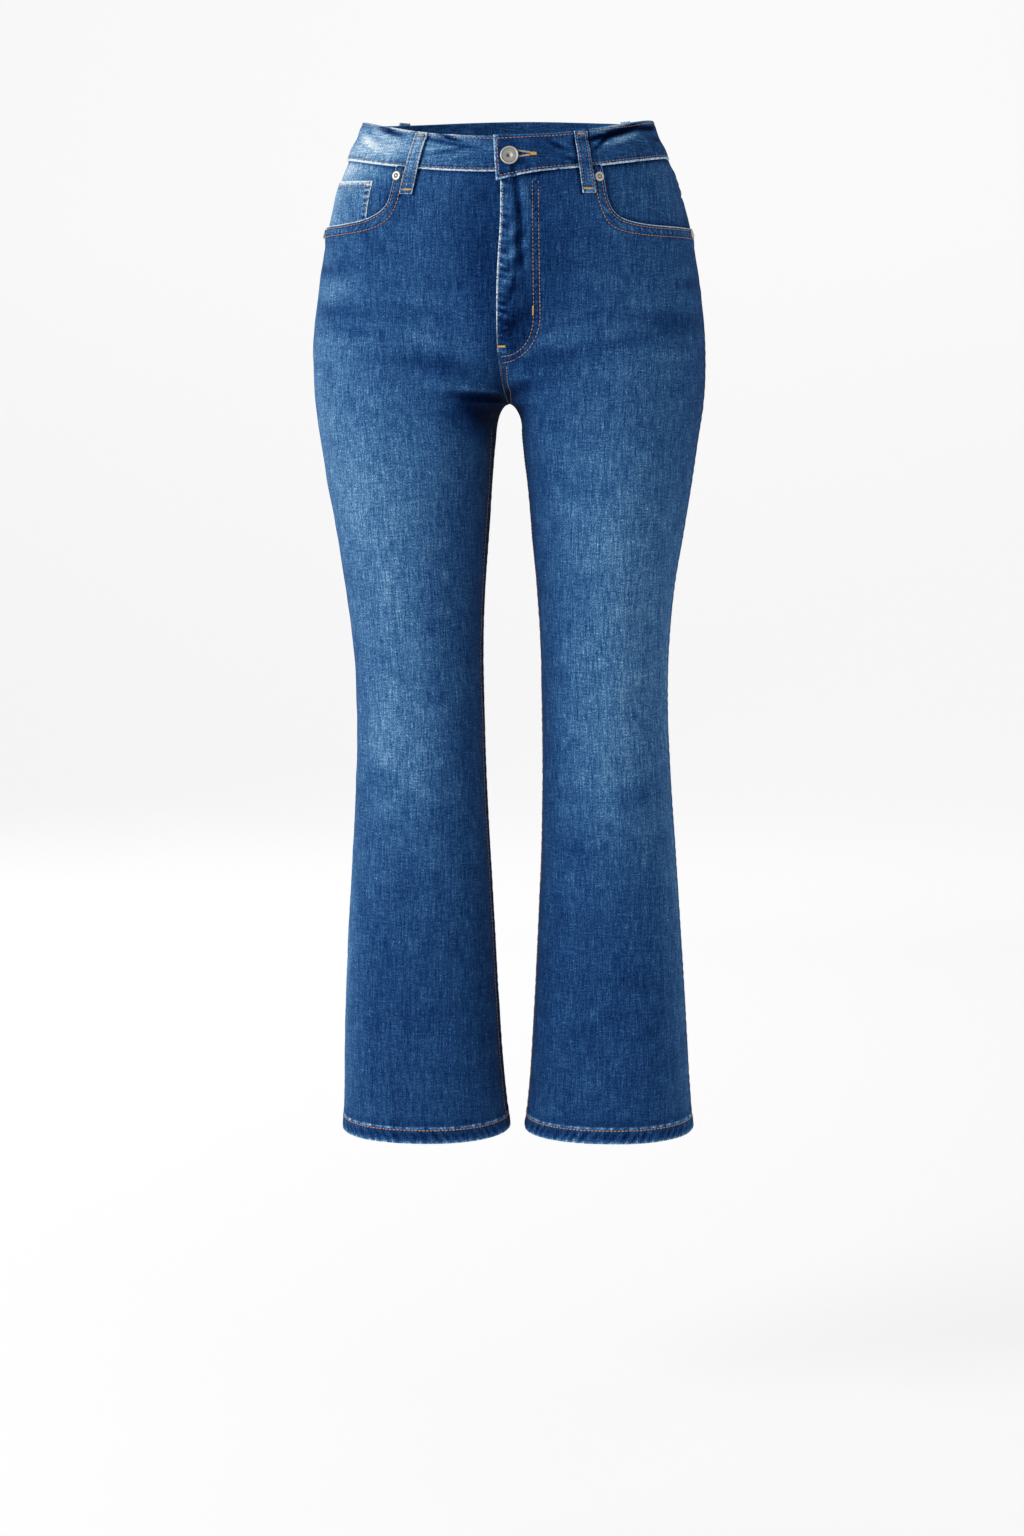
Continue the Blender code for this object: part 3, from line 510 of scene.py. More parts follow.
# Worn edges: the dye is gone from the high yarns first, so wear comes through as broken flecks.
fray = add_node(
    tree, "ShaderNodeMapRange", None,
    {"Value": drawn["yarn crossings"], "From Min": 0.30, "From Max": 0.62, "To Min": 0.55, "To Max": 1.0},
)
worn = add_node(
    tree, "ShaderNodeMath", {"operation": "MULTIPLY_ADD"},
    {0: wear.outputs["Y"], 1: fray.outputs["Result"], 2: tone},
)
# the third channel darkens: painted shade in grooves, under edges and beside loops, and dark seams
tone = add_node(
    tree, "ShaderNodeMath", {"operation": "SUBTRACT"}, {0: worn.outputs[0], 1: wear.outputs["Z"]}
)
colour = add_node(tree, "ShaderNodeValToRGB", None, {"Fac": tone.outputs[0]}, DENIM_TONES)
tree.links.new(colour.outputs["Color"], shader.inputs["Base Color"])

twill = add_node(
    tree, "ShaderNodeTexWave", {"bands_direction": "DIAGONAL"},
    {
        "Vector": place, "Scale": 2 * math.pi / 10 / TWILL_MM,
        "Distortion": 1.2, "Detail": 1.0, "Detail Scale": 1.5,
    },
)
height = twill.outputs["Fac"]
for pattern, strength in (("warp slubs", 1.6), ("yarn crossings", 1.2)):
    height = add_node(
        tree, "ShaderNodeMath", {"operation": "MULTIPLY_ADD"}, {0: drawn[pattern], 1: strength, 2: height}
    ).outputs[0]
raised = add_node(tree, "ShaderNodeBump", None, {"Strength": 0.42, "Distance": 0.32 * MM, "Height": height})
tree.links.new(raised.outputs["Normal"], shader.inputs["Normal"])


# Core-spun polyester topstitching thread in copper brown: smooth, two-ply, with a slight lustre.
THREAD_W, THREAD_H = 0.68 * MM, 0.40 * MM  # drawn half as thick again, to show from 3 m
STITCH, STITCH_PITCH = 2.9 * MM, 3.4 * MM


def thread_material(name, dark, light, lustre):
    material, tree, shader = new_material(
        name, {"Roughness": 0.55, "Specular IOR Level": 0.35, "Sheen Weight": lustre}
    )
    place = add_node(tree, "ShaderNodeAttribute", {"attribute_name": "twist"}).outputs["Vector"]
    ply = add_node(
        tree, "ShaderNodeTexWave", {"bands_direction": "DIAGONAL"},
        {"Vector": place, "Scale": 0.8, "Distortion": 0.4},
    )
    shade = add_node(tree, "ShaderNodeTexNoise", None, {"Vector": place, "Scale": 0.45, "Detail": 2.0})
    mixed = add_node(
        tree, "ShaderNodeMath", {"operation": "MULTIPLY_ADD"},
        {0: ply.outputs["Fac"], 1: 0.35, 2: shade.outputs["Fac"]},
    )
    tones = ((0.35, dark), (0.85, light))
    colour = add_node(tree, "ShaderNodeValToRGB", None, {"Fac": mixed.outputs[0]}, tones)
    tree.links.new(colour.outputs["Color"], shader.inputs["Base Color"])
    raised = add_node(
        tree, "ShaderNodeBump", None, {"Strength": 0.5, "Distance": 0.1 * MM, "Height": ply.outputs["Fac"]}
    )
    tree.links.new(raised.outputs["Normal"], shader.inputs["Normal"])
    return material


copper_thread = thread_material("copper_topstitch_thread", "#6a482a", "#cf9f66", 0.1)
gold_thread = thread_material("gold_bartack_thread", "#a06a1e", "#e9b95a", 0.2)
pale_thread = thread_material("worn_buttonhole_thread", "#6d665c", "#cbbf9f", 0.2)


def put_in(name, data):
    """Puts an object with this data in the scene."""
    thing = bpy.data.objects.new(name, data)
    bpy.context.scene.collection.objects.link(thing)
    return thing


def add_mesh(name, points, quads, material, attributes):
    """A smooth-shaded mesh with vector attributes, its faces turned outwards."""
    points, quads = np.asarray(points), np.asarray(quads)
    a, b, c, d = (points[quads[:, i]] for i in range(4))
    volume = (a * np.cross(b, c)).sum() + (a * np.cross(c, d)).sum()
    if volume < 0:
        quads = quads[:, ::-1]
    mesh = bpy.data.meshes.new(name)
    mesh.from_pydata(points.tolist(), [], quads.tolist())
    for key, values in attributes.items():
        made = mesh.attributes.new(key, "FLOAT_VECTOR", "POINT")
        made.data.foreach_set("vector", np.asarray(values, float).ravel())
    mesh.materials.append(material)
    mesh.shade_smooth()
    piece = put_in(name, mesh)
    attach(piece, "root")
    return piece


def edge_distances(points):
    """How far each point of a grid is from its top, bottom, left and right edges, along the cloth."""
    down = np.linalg.norm(np.diff(points, axis=0), axis=2).cumsum(axis=0)
    down = np.concatenate([np.zeros((1, points.shape[1])), down])
    across = np.linalg.norm(np.diff(points, axis=1), axis=2).cumsum(axis=1)
    across = np.concatenate([np.zeros((points.shape[0], 1)), across], axis=1)
    return {"top": down, "bottom": down[-1] - down, "left": across, "right": across[:, -1:] - across}


EDGE_LEFT = 0.2  # the share of its thickness that a rolled edge keeps


def rounded(distance, radius):
    """How thick a rolled edge is, from EDGE_LEFT on it to 1 past its radius."""
    return EDGE_LEFT + (1 - EDGE_LEFT) * np.sqrt(1 - (1 - np.clip(distance / radius, 0, 1)) ** 2)


REVERSE_TONE = 0.80  # the white weft shows on the cloth's inner face
EDGE_WEAR = 0.9 * MM


def shell(
    name, side, s, z, outer, inner,
    worn_edges=None, extra_wear_and_shade=0, keep=None, grain=None, inner_tone=REVERSE_TONE,
):
    """A closed shell of denim over a grid of places, its edges rolled.

    worn_edges is how worn each edge is, keep where the cloth must stay on its own side of the
    centre, grain where the yarns lie, and inner_tone how faded the inside is.
    """
    side, s, z, outer, inner = arrays(side, s, z, outer, inner)
    mid, half = (outer + inner) / 2, (outer - inner) / 2
    away = edge_distances(skin(side, s, z, mid))
    roll = 1.0
    for distance in away.values():
        roll = roll * rounded(distance, np.abs(half).mean() * 1.1)
    layers = [skin(side, s, z, mid + half * roll), skin(side, s, z, mid - half * roll)]
    if keep is not None:
        for layer in layers:
            held = side * np.maximum(side * layer[..., 0], 0)
            layer[..., 0] = np.where(keep, held, layer[..., 0])
    rows, cols = s.shape
    index = np.arange(rows * cols).reshape(rows, cols)
    front = np.stack([index[:-1, :-1], index[:-1, 1:], index[1:, 1:], index[1:, :-1]], axis=-1)
    front = front.reshape(-1, 4)
    rim = np.concatenate([index[0, :], index[1:, -1], index[-1, -2::-1], index[-2:0:-1, 0]])
    after, count = np.roll(rim, -1), rows * cols
    sides = np.stack([after, rim, rim + count, after + count], axis=-1)
    quads = np.concatenate([front, front[:, ::-1] + count, sides])

    worn = np.zeros(s.shape) + extra_wear_and_shade
    for edge, strength in (worn_edges or {}).items():
        worn = worn + strength * np.exp(-away[edge] / EDGE_WEAR)
    zero = np.zeros(s.shape)
    # negative wear darkens, for painted shade and shadow and for dark seams
    outside = np.stack([wash(side, s, z), np.clip(worn, 0, None), np.clip(-worn, 0, None)], axis=-1)
    inside = np.stack([zero + inner_tone, zero, zero], axis=-1)
    if grain is None:
        grain = grain_place(side, s, z)
    attributes = {
        "grain": np.concatenate([grain.reshape(-1, 3)] * 2),
        "wear": np.concatenate([outside.reshape(-1, 3), inside.reshape(-1, 3)]),
    }
    points = np.concatenate([layer.reshape(-1, 3) for layer in layers])
    piece = add_mesh(name, points, quads, denim, attributes)
    return piece


def steps(length, step, start=True, end=True):
    """Shares of a length: close together at a rolled edge, even in between."""
    close = np.array([0, 0.2, 0.5, 0.9, 1.5, 2.4, 3.6]) * MM
    first, last = (close if near else close[:1] for near in (start, end))
    count = max(1, round((length - first[-1] - last[-1]) / step))
    middle = np.linspace(first[-1], length - last[-1], count + 1)
    return np.concatenate([first[:-1], middle, (length - last)[::-1][1:]]) / length


def pucker(along, pitch, phase=0.0):
    """The uneven ripple of cloth drawn up by a seam."""
    turn = 2 * math.pi * along / pitch
    strength = 0.7 + 0.3 * np.sin(turn / 5.3 + phase)
    return np.sin(turn + phase + 0.9 * np.sin(turn / 3.7 + 1 + phase)) * strength


def sewn_down(distance, rows, width):
    """1 on each of the rows of stitching, which pull the cloth down, and 0 away from them."""
    return sum(bump(distance - row, width) for row in rows)


def bars(centres, along, out, length, width, height):
    """Stitches as (centre, along, out, length, width, height)."""
    sizes = np.stack([np.broadcast_to(v, len(centres)) for v in (length, width, height)], axis=1)
    return np.concatenate([centres, along, out, sizes], axis=1)


def sewn_row(side, s, z, lift, pitch=STITCH_PITCH, length=STITCH, width=THREAD_W):
    """Stitches along a line of places. lift is the height of the cloth's face along it."""
    side, s, z, lift = arrays(side, s, z, lift)
    points, out = skin(side, s, z, lift + 0.12 * MM), normal(side, s, z)
    far = np.concatenate([[0], np.cumsum(np.linalg.norm(np.diff(points, axis=0), axis=1))])
    count = max(1, int(far[-1] / pitch))
    middle = (np.arange(count) + 0.5) * far[-1] / count

    def at(values, where):
        return np.stack([np.interp(where, far, values[:, i]) for i in range(3)], axis=1)

    ahead, back = at(points, middle + length / 2), at(points, middle - length / 2)
    along = ahead - back
    along /= np.linalg.norm(along, axis=1, keepdims=True)
    return bars(at(points, middle), along, at(out, middle), length, width, THREAD_H)


def cloth_frame(side, s, z, lift):
    """A place's point and its directions out of, across and up the cloth."""
    here, out = skin(side, s, z, lift), normal(side, s, z)
    up = np.array([0, 0, 1.0]) - out * out[2]
    up = up / np.linalg.norm(up)
    return here, out, np.cross(out, up), up


TACK_PITCH, TACK_THREAD = 0.42 * MM, (0.62 * MM, 0.5 * MM)


def tack(side, s, z, lift, turn, length, width):
    """A bartack: a bar of close stitches. turn is its angle from level, in degrees."""
    here, out, across, up = cloth_frame(side, s, z, lift + 0.3 * MM)
    axis = across * math.cos(math.radians(turn)) + up * math.sin(math.radians(turn))
    over = np.cross(out, axis)
    count = int(length / TACK_PITCH)
    along = (np.arange(count) + 0.5) / count - 0.5
    centres = here + along[:, None] * length * axis
    lean = over + axis * 0.12 * np.where(np.arange(count) % 2, 1, -1)[:, None]
    lean /= np.linalg.norm(lean, axis=1, keepdims=True)
    return bars(centres, lean, np.tile(out, (count, 1)), width, *TACK_THREAD)


STITCH_SINK = 0.55  # how deep a stitch's ends go in, as a share of its height
STITCH_RINGS = ((-0.5, 0.45, 1), (-0.26, 1, 0), (0.26, 1, 0), (0.5, 0.45, 1))  # place, size, sunk


def thread_piece(name, rows, material):
    """Joins stitches into one piece: each a bar of four six-sided rings, sunk at its ends."""
    table = np.concatenate(rows)
    centre, along, out = table[:, 0:3], table[:, 3:6], table[:, 6:9]
    length, width, height = table[:, 9:].T
    over, number = np.cross(out, along), np.arange(len(table))
    points, twist = [], []
    for place, size, sunk in STITCH_RINGS:
        ring = centre + along * (place * length)[:, None] - out * (sunk * STITCH_SINK * height)[:, None]
        for angle in np.radians(np.arange(6) * 60):
            round_it = over * (math.cos(angle) * size * width / 2)[:, None]
            round_it = round_it + out * (math.sin(angle) * size * height / 2)[:, None]
            points.append(ring + round_it)
            run = place * length / MM + 7.3 * number
            twist.append(np.stack([run, angle / 2 + 0 * run, 0 * run], axis=1))
    points = np.stack(points, axis=1).reshape(-1, 3)
    twist = np.stack(twist, axis=1).reshape(-1, 3)
    one = [
        (6 * ring + i, 6 * ring + (i + 1) % 6, 6 * ring + 6 + (i + 1) % 6, 6 * ring + 6 + i)
        for ring in range(3)
        for i in range(6)
    ]
    one += [(3, 2, 1, 0), (5, 4, 3, 0), (18, 19, 20, 21), (18, 21, 22, 23)]
    quads = (np.array(one)[None] + 24 * np.arange(len(table))[:, None, None]).reshape(-1, 4)
    return add_mesh(name, points, quads, material, {"twist": twist})


# The waist's lines, which the fronts meet
BAND_TOP_SIDE, BAND_SEAM_SIDE = 17.8 * MM, -16.0 * MM
FRONT_DIP, SEAM_DIP, BACK_RAISE = 19.0 * MM, 16.0 * MM, 8.0 * MM
BAND_OUT, BAND_IN = 1.3 * MM, -1.7 * MM
OVER_LIFT = BAND_OUT - BAND_IN + GAP
DROOP, DROOP_REACH = 8 * MM, 65 * MM


def waist_line(s, at_side, dip):
    """A line round the waist that dips to the front centre and rises to the back."""
    s = np.asarray(s, float)
    return at_side + np.where(s > 0, -dip, BACK_RAISE) * np.sin(np.pi * s / 2) ** 2


def band_top(s):
    return waist_line(s, BAND_TOP_SIDE, FRONT_DIP)


def band_seam(s):
    return waist_line(s, BAND_SEAM_SIDE, SEAM_DIP)


def droop(from_centre):
    return DROOP * np.clip(1 - from_centre / DROOP_REACH, 0, 1) ** 2


def waist_width(s):
    """How far a place is from the front centre, round the waist."""
    return (1 - s) * math.pi / 2 * HALF_WAIST


def panel_top(side, s):
    """The line where a front or yoke meets the band."""
    drooped = np.where((side > 0) & (np.asarray(s) > 0), droop(waist_width(np.asarray(s, float))), 0)
    return band_seam(s) - drooped - GAP


# Belt loops, as (side, face, how far from the centre at the top and at the foot). The cloth
# beside them is painted darker: painted shadow of the loops, and cloth there that isn't rubbed.
LOOPS = {
    "front_right": (-1, 1, 66.6 * MM, 79.8 * MM),
    "front_left": (1, 1, 69.6 * MM, 78.6 * MM),
    "back_right": (-1, -1, 99 * MM, 114 * MM),
    "back_left": (1, -1, 99 * MM, 114 * MM),
    "back_centre": (1, -1, 0.0, 0.0),
}
LOOP_WIDTH, LOOP_BELOW_SEAM, LOOP_SHADOW_PAINT = 11.5 * MM, 21.4 * MM, 0.34


def loop_s(face, top_x):
    return face * (1 - top_x / HALF_WAIST * 2 / math.pi)


# painted shadow beside the belt loops: how much darker the cloth is painted there
def painted_loop_shadow(side, s, z):
    x, shade = side * bare_point(side, s, z)[..., 0], 0
    for loop_side, face, top_x, low_x in LOOPS.values():
        middle_s = loop_s(face, top_x)
        top, low = float(band_top(middle_s)), float(band_seam(middle_s)) - LOOP_BELOW_SEAM
        down = np.clip((top - z) / (top - low), 0, 1)
        from_edge = np.abs(x - top_x - (low_x - top_x) * down) - LOOP_WIDTH / 2
        here = ((side == loop_side) | (top_x == 0)) & (np.sign(s + 1e-9) == face) & (z > low - 1.5 * MM)
        shade = shade + np.where(here, bump(from_edge - 0.2 * MM, 1.2 * MM), 0)
    return LOOP_SHADOW_PAINT * shade


# Fly: its width, the J that it is sewn along, and how the left front lies over the right
FLY_WIDTH, FLY_STRAIGHT_Z, FLY_END_Z = 37 * MM, -160 * MM, -196 * MM
FLY_RAISE, FLY_LEVEL = 3.1 * MM, 8 * MM
FLY_FADE = (-164 * MM, -200 * MM)
FLY_LAP, LAP_FADE = 8 * MM, (-150 * MM, -164 * MM)
SET_BACK, SET_BACK_FADE = 3.5 * MM, (-50 * MM, -150 * MM)
FLY_OPEN_Z, FLY_FOOT_Z, SEWN_FROM_Z = -186 * MM, -192 * MM, -28 * MM
CENTRE_ROWS = (1.6 * MM, 7.0 * MM)  # the felled seam's, below the fly
J_COLUMNS = ("x_top", "x_low", "curve_from", "end", "squareness")
J_ROWS = [dict(zip(J_COLUMNS, row)) for row in ((30.5, 32, -150, -190, 2.5), (35.5, 37.6, -154, -196, 2.1))]


def fly_lift(s, z):
    x = off_centre(1, s, z)
    raised = FLY_RAISE * (1 - share(z, *FLY_FADE))
    return raised * (1 - smooth((x - FLY_LEVEL) / (FLY_WIDTH - FLY_LEVEL))) * (s > 0)


def j_x(row, z):
    """How far a row of the J is from the front centre at height z."""
    x_top, x_low, curve_from, end, square = J_ROWS[row].values()
    down = np.clip((curve_from * MM - z) / ((curve_from - end) * MM), 0, 1)
    straight = x_top + (x_low - x_top) * np.clip((z / MM + 38) / (curve_from + 38), 0, 1)
    return straight * MM * (1 - down**square) ** (1 / square)


# Pocket mouths
MOUTH = {-1: (0.59, 43 * MM, 4.6), 1: (0.59, 45.5 * MM, 6.0)}
MOUTH_Z = -31.5 * MM
MOUTH_COLUMNS, WAIST_COLUMNS, MOUTH_FAN = 9, 8, 0.75
MOUTH_HEM, MOUTH_RAMP = 8 * MM, 10 * MM
MOUTH_OUT, MOUTH_IN = 1.7 * MM, 0.1 * MM
MOUTH_ROWS = (2.4 * MM, 9.0 * MM)  # its topstitching, from the edge
MOUTH_LONG, WAIST_LONG = 165 * MM, 94 * MM


def mouth_reach(side, s, z):
    edge, depth, square = MOUTH[side]
    return ((np.abs(s) / edge) ** square + (np.maximum(0, MOUTH_Z - z) / depth) ** square) ** (1 / square)


def mouth_distance(side, s, z):
    """Distance from the pocket mouth's edge, on the front panel."""
    here = mouth_reach(side, s, z)
    by_s = (mouth_reach(side, s + 0.01, z) - here) / (0.01 * MM_PER_S)
    by_z = (mouth_reach(side, s, z - MM) - here) / MM
    return (here - 1) / np.sqrt(by_s**2 + by_z**2 + 1e-6)


def mouth_share(side, s, z):
    return 1 - smooth((mouth_distance(side, s, z) - MOUTH_HEM) / MOUTH_RAMP)


def mouth_low(side, s):
    edge, depth, square = MOUTH[side]
    return MOUTH_Z - depth * np.maximum(0, 1 - (np.asarray(s) / edge) ** square) ** (1 / square)


def mouth_line(side, at):
    """Points (s, z) on the pocket mouth's edge, at shares of it from the side seam to the waist."""
    edge = MOUTH[side][0]
    dense = edge * np.sin(np.linspace(0, math.pi / 2, 90)) ** 0.5
    dense[0] = 0
    curve = np.stack([dense, mouth_low(side, dense)], axis=1)
    line = np.array([*curve, (edge, float(panel_top(side, edge)))])
    runs = np.diff(line, axis=0) * (MM_PER_S, 1)
    turn = np.unwrap(np.arctan2(runs[:, 1], runs[:, 0]))
    cost = np.hypot(*runs.T) + 22 * MM * np.abs(np.gradient(turn))
    length = np.concatenate([[0], np.cumsum(cost)])
    return np.stack([np.interp(at * length[-1], length, line[:, i]) for i in (0, 1)], axis=1)


def centre_end(side, z):
    """The s of a front's end at the centre: the right one runs on under the fly."""
    far, fade = (FLY_LAP, LAP_FADE) if side < 0 else (-SET_BACK, SET_BACK_FADE)
    return 1 + far * (1 - share(z, *fade)) / (math.pi / 2 * HALF_FRONT)


# Hems: turned up twice to 13 mm, with one row of stitching near the top of the turn
HEM_TURN, HEM_ROW, HEM_THREAD_W = 13 * MM, 12.2 * MM, 0.95 * MM
HEM_OUT, HEM_IN, HEM_RAMP, HEM_ZONE = 0.5 * MM, 1.3 * MM, 1.5 * MM, 19 * MM
HEM_EDGE_WEAR = {"bottom": 0.55}
KEPT_Z = CROTCH_Z - 0.7 * ARCH  # above this the halves meet at the centre and mustn't cross it


def hem_share(side, z):
    return smooth((HEM_Z[side] + HEM_TURN + HEM_RAMP - z) / HEM_RAMP)


def hem_ropes(across, up):
    """The twist of a turned hem, as ropes that slant across it."""
    return pucker(across + 0.7 * up, 8.6 * MM, 1.3) * bump(up - 6 * MM, 6 * MM)


def hem_relief(side, s, z):
    """A hem's ropes, its sunk stitching, and the ridge and dimples above that."""
    up, across = z - HEM_Z[side], s * MM_PER_S
    dimples = 0.22 * MM * pucker(across, 7.2 * MM, 0.4) * bump(up - 16 * MM, 5 * MM)
    ridge = 0.2 * MM * bump(up - 15.5 * MM, 2 * MM)
    return 0.32 * MM * hem_ropes(across, up) + dimples + ridge - 0.42 * MM * bump(up - HEM_ROW, 1.0 * MM)


def hem_wear_and_shade(side, s, z):
    """Fading on a hem: pale ropes, pale dashes above the stitching, painted shade in its groove, and darker
    bands.
    """
    up, across = z - HEM_Z[side], s * MM_PER_S
    dashes = 0.3 + 0.6 * smooth(pucker(across, 9.5 * MM, 0.4) * 1.2 + 0.6)
    dashes = (dashes + 0.25 * pucker(across, 2.3 * MM)) * bump(up - HEM_ROW - 1.9 * MM, 0.9 * MM)
    # painted shade in the stitching's groove, and darker bands across the turn and above it
    dark = 0.12 * bump(up - 7.5 * MM, 3.5 * MM) + 0.15 * bump(up - HEM_ROW, 0.9 * MM)
    dark = dark + 0.07 * bump(up - 18 * MM, 3 * MM)
    turned = (0.10 + 0.16 * pucker(across, 7.7 * MM, 2.2)) * bump(up - 1 * MM, 1.8 * MM)
    return 0.56 * dashes + 0.14 * hem_ropes(across, up) + turned - dark


def inside_tone(side, z):
    """The cloth's pale reverse, but for the turned-up hem, which shows its face inside."""
    return np.where(z < HEM_Z[side] + HEM_TURN, UNWASHED, REVERSE_TONE)


INSEAM_ROW = {-1: 9 * MM, 1: 14 * MM}  # the left leg's is turned a little to the front
SEAM_PITCH = 9.5 * MM


def seam_wear(s, z, inseam_row):
    """Spots of fading where the side seam's turnings end, beside a dark seam, and a dark inseam."""
    from_side, from_inner = np.abs(s) * MM_PER_S, (1 - np.abs(s)) * MM_PER_S
    spots = (0.04 + 0.10 * pucker(z, SEAM_PITCH)) * bump(from_side - 12 * MM, 3.4 * MM) * (z < -90 * MM)
    spots = spots - 0.20 * bump(from_side, 2.6 * MM) * (z < -75 * MM)
    drawn_in = (0.20 + 0.16 * pucker(z, SEAM_PITCH, 3)) * bump(from_inner - 0.6 * inseam_row, 5.5 * MM)
    return spots - drawn_in * (z < CROTCH_Z - 3 * MM)


def seam_relief(s, z, end):
    """The ridge over a seam's turnings, drawn in at the seam itself. end is its s."""
    from_seam = np.abs(s - end) * MM_PER_S
    ridge = 0.45 * MM * bump(from_seam - 3.2 * MM, 2.4 * MM) - 0.75 * MM * bump(from_seam, 1.1 * MM)
    return ridge + 0.22 * MM * pucker(z, SEAM_PITCH, 3 * abs(end)) * bump(from_seam - 3 * MM, 4 * MM)


def fly_sewing(s, z):
    """Where a place on the left front lies: its distances from the centre and from the J's rows,
    whether it is that far down, how far it is on the ridge between the rows, and the ripples of
    that ridge and of the open edge."""
    x = off_centre(1, s, z)
    from_rows = []
    for number, row in enumerate(J_ROWS):
        line_z = np.linspace(-30 * MM, row["end"] * MM, 260)
        nearest = np.full(x.shape, 1.0)
        for at_x, at_z in zip(j_x(number, line_z), line_z):
            nearest = np.minimum(nearest, (x - at_x) ** 2 + (z - at_z) ** 2)
        from_rows.append(np.sqrt(nearest))
    inner, outer = from_rows
    sewn = smooth((SEWN_FROM_Z - z) / (6 * MM))
    between = bump(inner - 2.7 * MM, 2 * MM) * bump(outer - 2.7 * MM, 2 * MM) * sewn
    ridge_ripple = pucker(z - 0.5 * x, 5.6 * MM, 1)
    edge_ripple = pucker(z + 0.3 * x, 7.4 * MM, 0.5)
    return x, inner, outer, sewn, between, ridge_ripple, edge_ripple


def mouth_sewing(side, s, z):
    """A place's distance from the pocket mouth, whether it is near it, and how far it is round it."""
    return mouth_distance(side, s, z), (z > -110 * MM) & (s < 0.75), s * MM_PER_S - z


def front_face(side, s, z):
    """How far the outer face of a front stands out of the surface."""
    s, z = arrays(s, z)
    from_mouth, near_mouth, round_mouth = mouth_sewing(side, s, z)
    mouth = 0.30 * MM * bump(from_mouth - 5.6 * MM, 2.4 * MM)
    mouth = mouth - 0.34 * MM * sewn_down(from_mouth, MOUTH_ROWS, 0.8 * MM)
    mouth = mouth + 0.24 * MM * pucker(round_mouth, 6.4 * MM) * bump(from_mouth - 6 * MM, 2.6 * MM)
    mouth = mouth + 0.14 * MM * pucker(round_mouth, 7.3 * MM, 2) * bump(from_mouth - 13 * MM, 4 * MM)
    face = MOUTH_OUT * mouth_share(side, s, z) + np.where(near_mouth, mouth, 0)
    face = face + HEM_OUT * hem_share(side, z) + hem_relief(side, s, z)
    for end, from_z in ((0, -70 * MM), (1, CROTCH_Z)):
        face = face + np.where(z < from_z, seam_relief(s, z, end), 0)
    if side < 0:
        return face
    x, inner, outer, sewn, between, ridge_ripple, edge_ripple = fly_sewing(s, z)
    face = face + fly_lift(s, z) - 0.42 * MM * (bump(inner, 0.9 * MM) + bump(outer, 0.9 * MM)) * sewn
    face = face + between * (0.25 + 0.4 * ridge_ripple) * MM
    face = face + 0.46 * MM * edge_ripple * bump(x, 9 * MM) * (z > FLY_OPEN_Z)
    below = smooth((FLY_FOOT_Z - z) / (5 * MM)) * (z > CROTCH_Z - 0.5 * MM)
    face = face - 0.35 * MM * sewn_down(x, CENTRE_ROWS, 0.8 * MM) * below
    return face + 0.3 * MM * bump(x - 4.3 * MM, 2 * MM) * below * (1 + pucker(z, 5 * MM))


def front_wear_and_shade(side, s, z, face):
    """Extra fading on a front: on raised ripples beside its sewing, with painted shade along its sunk rows
    of stitching.
    """
    ripple = (face - MOUTH_OUT * mouth_share(side, s, z)) / MM
    from_mouth, near_mouth, round_mouth = mouth_sewing(side, s, z)
    mouth = 0.14 * ripple * bump(from_mouth - 6 * MM, 6 * MM)
    mouth = mouth + 0.15 * pucker(round_mouth, 6.4 * MM) * bump(from_mouth - 5.8 * MM, 2.4 * MM)
    # painted shade along the mouth's sunk rows
    mouth = mouth - 0.15 * sewn_down(from_mouth, MOUTH_ROWS, 0.9 * MM)
    worn = np.where(near_mouth, mouth, 0) + hem_wear_and_shade(side, s, z) + seam_wear(s, z, INSEAM_ROW[side])
    if side < 0:
        return worn
    x, inner, outer, sewn, between, ridge_ripple, edge_ripple = fly_sewing(s, z)
    worn = worn + between * (0.02 + 0.16 * ridge_ripple)
    # painted shade along the J's sunk rows
    worn = worn - 0.13 * (bump(inner, 1.0 * MM) + bump(outer, 1.0 * MM)) * sewn
    beyond = bump(outer - 1.8 * MM, 1.5 * MM) * (x > j_x(1, z)) * sewn
    worn = worn + 0.10 * beyond * (0.4 + pucker(z, 8 * MM))
    on_fly = (z > FLY_OPEN_Z) * (x < j_x(0, z))
    worn = worn + (0.06 + 0.26 * edge_ripple) * bump(x - 4 * MM, 6 * MM) * on_fly
    return worn + 0.12 * pucker(z - 0.8 * x, 23 * MM, 1.1) * bump(x - 14 * MM, 12 * MM) * on_fly


def shade_under_band(side, s, z):
    """How much darker the cloth is painted just below the band: painted shadow, and dye unfaded where
    nothing rubs.
    """
    return 0.26 * np.exp(-np.maximum(0, panel_top(side, s) - z) / (1.7 * MM))


def leg_heights(side, rise, rows, hem_step):
    """Heights from the seat down to the hem, close together round the crotch and at the hem."""
    seat_rows, arch_rows, leg_rows = rows
    seat = [CROTCH_Z + rise * (1 - math.sin(a)) for a in np.radians(np.linspace(0, 90, seat_rows))]
    arch = [CROTCH_Z - ARCH * (1 - math.cos(a)) for a in np.radians(np.linspace(0, 90, arch_rows)[1:])]
    zone = HEM_Z[side] + HEM_ZONE
    leg = np.linspace(CROTCH_Z - ARCH, zone, leg_rows)[1:]
    turn = HEM_Z[side] + HEM_ZONE * (1 - steps(HEM_ZONE, hem_step, start=False)[1:])
    return np.array([*seat, *arch, *leg, *turn])[:, None]


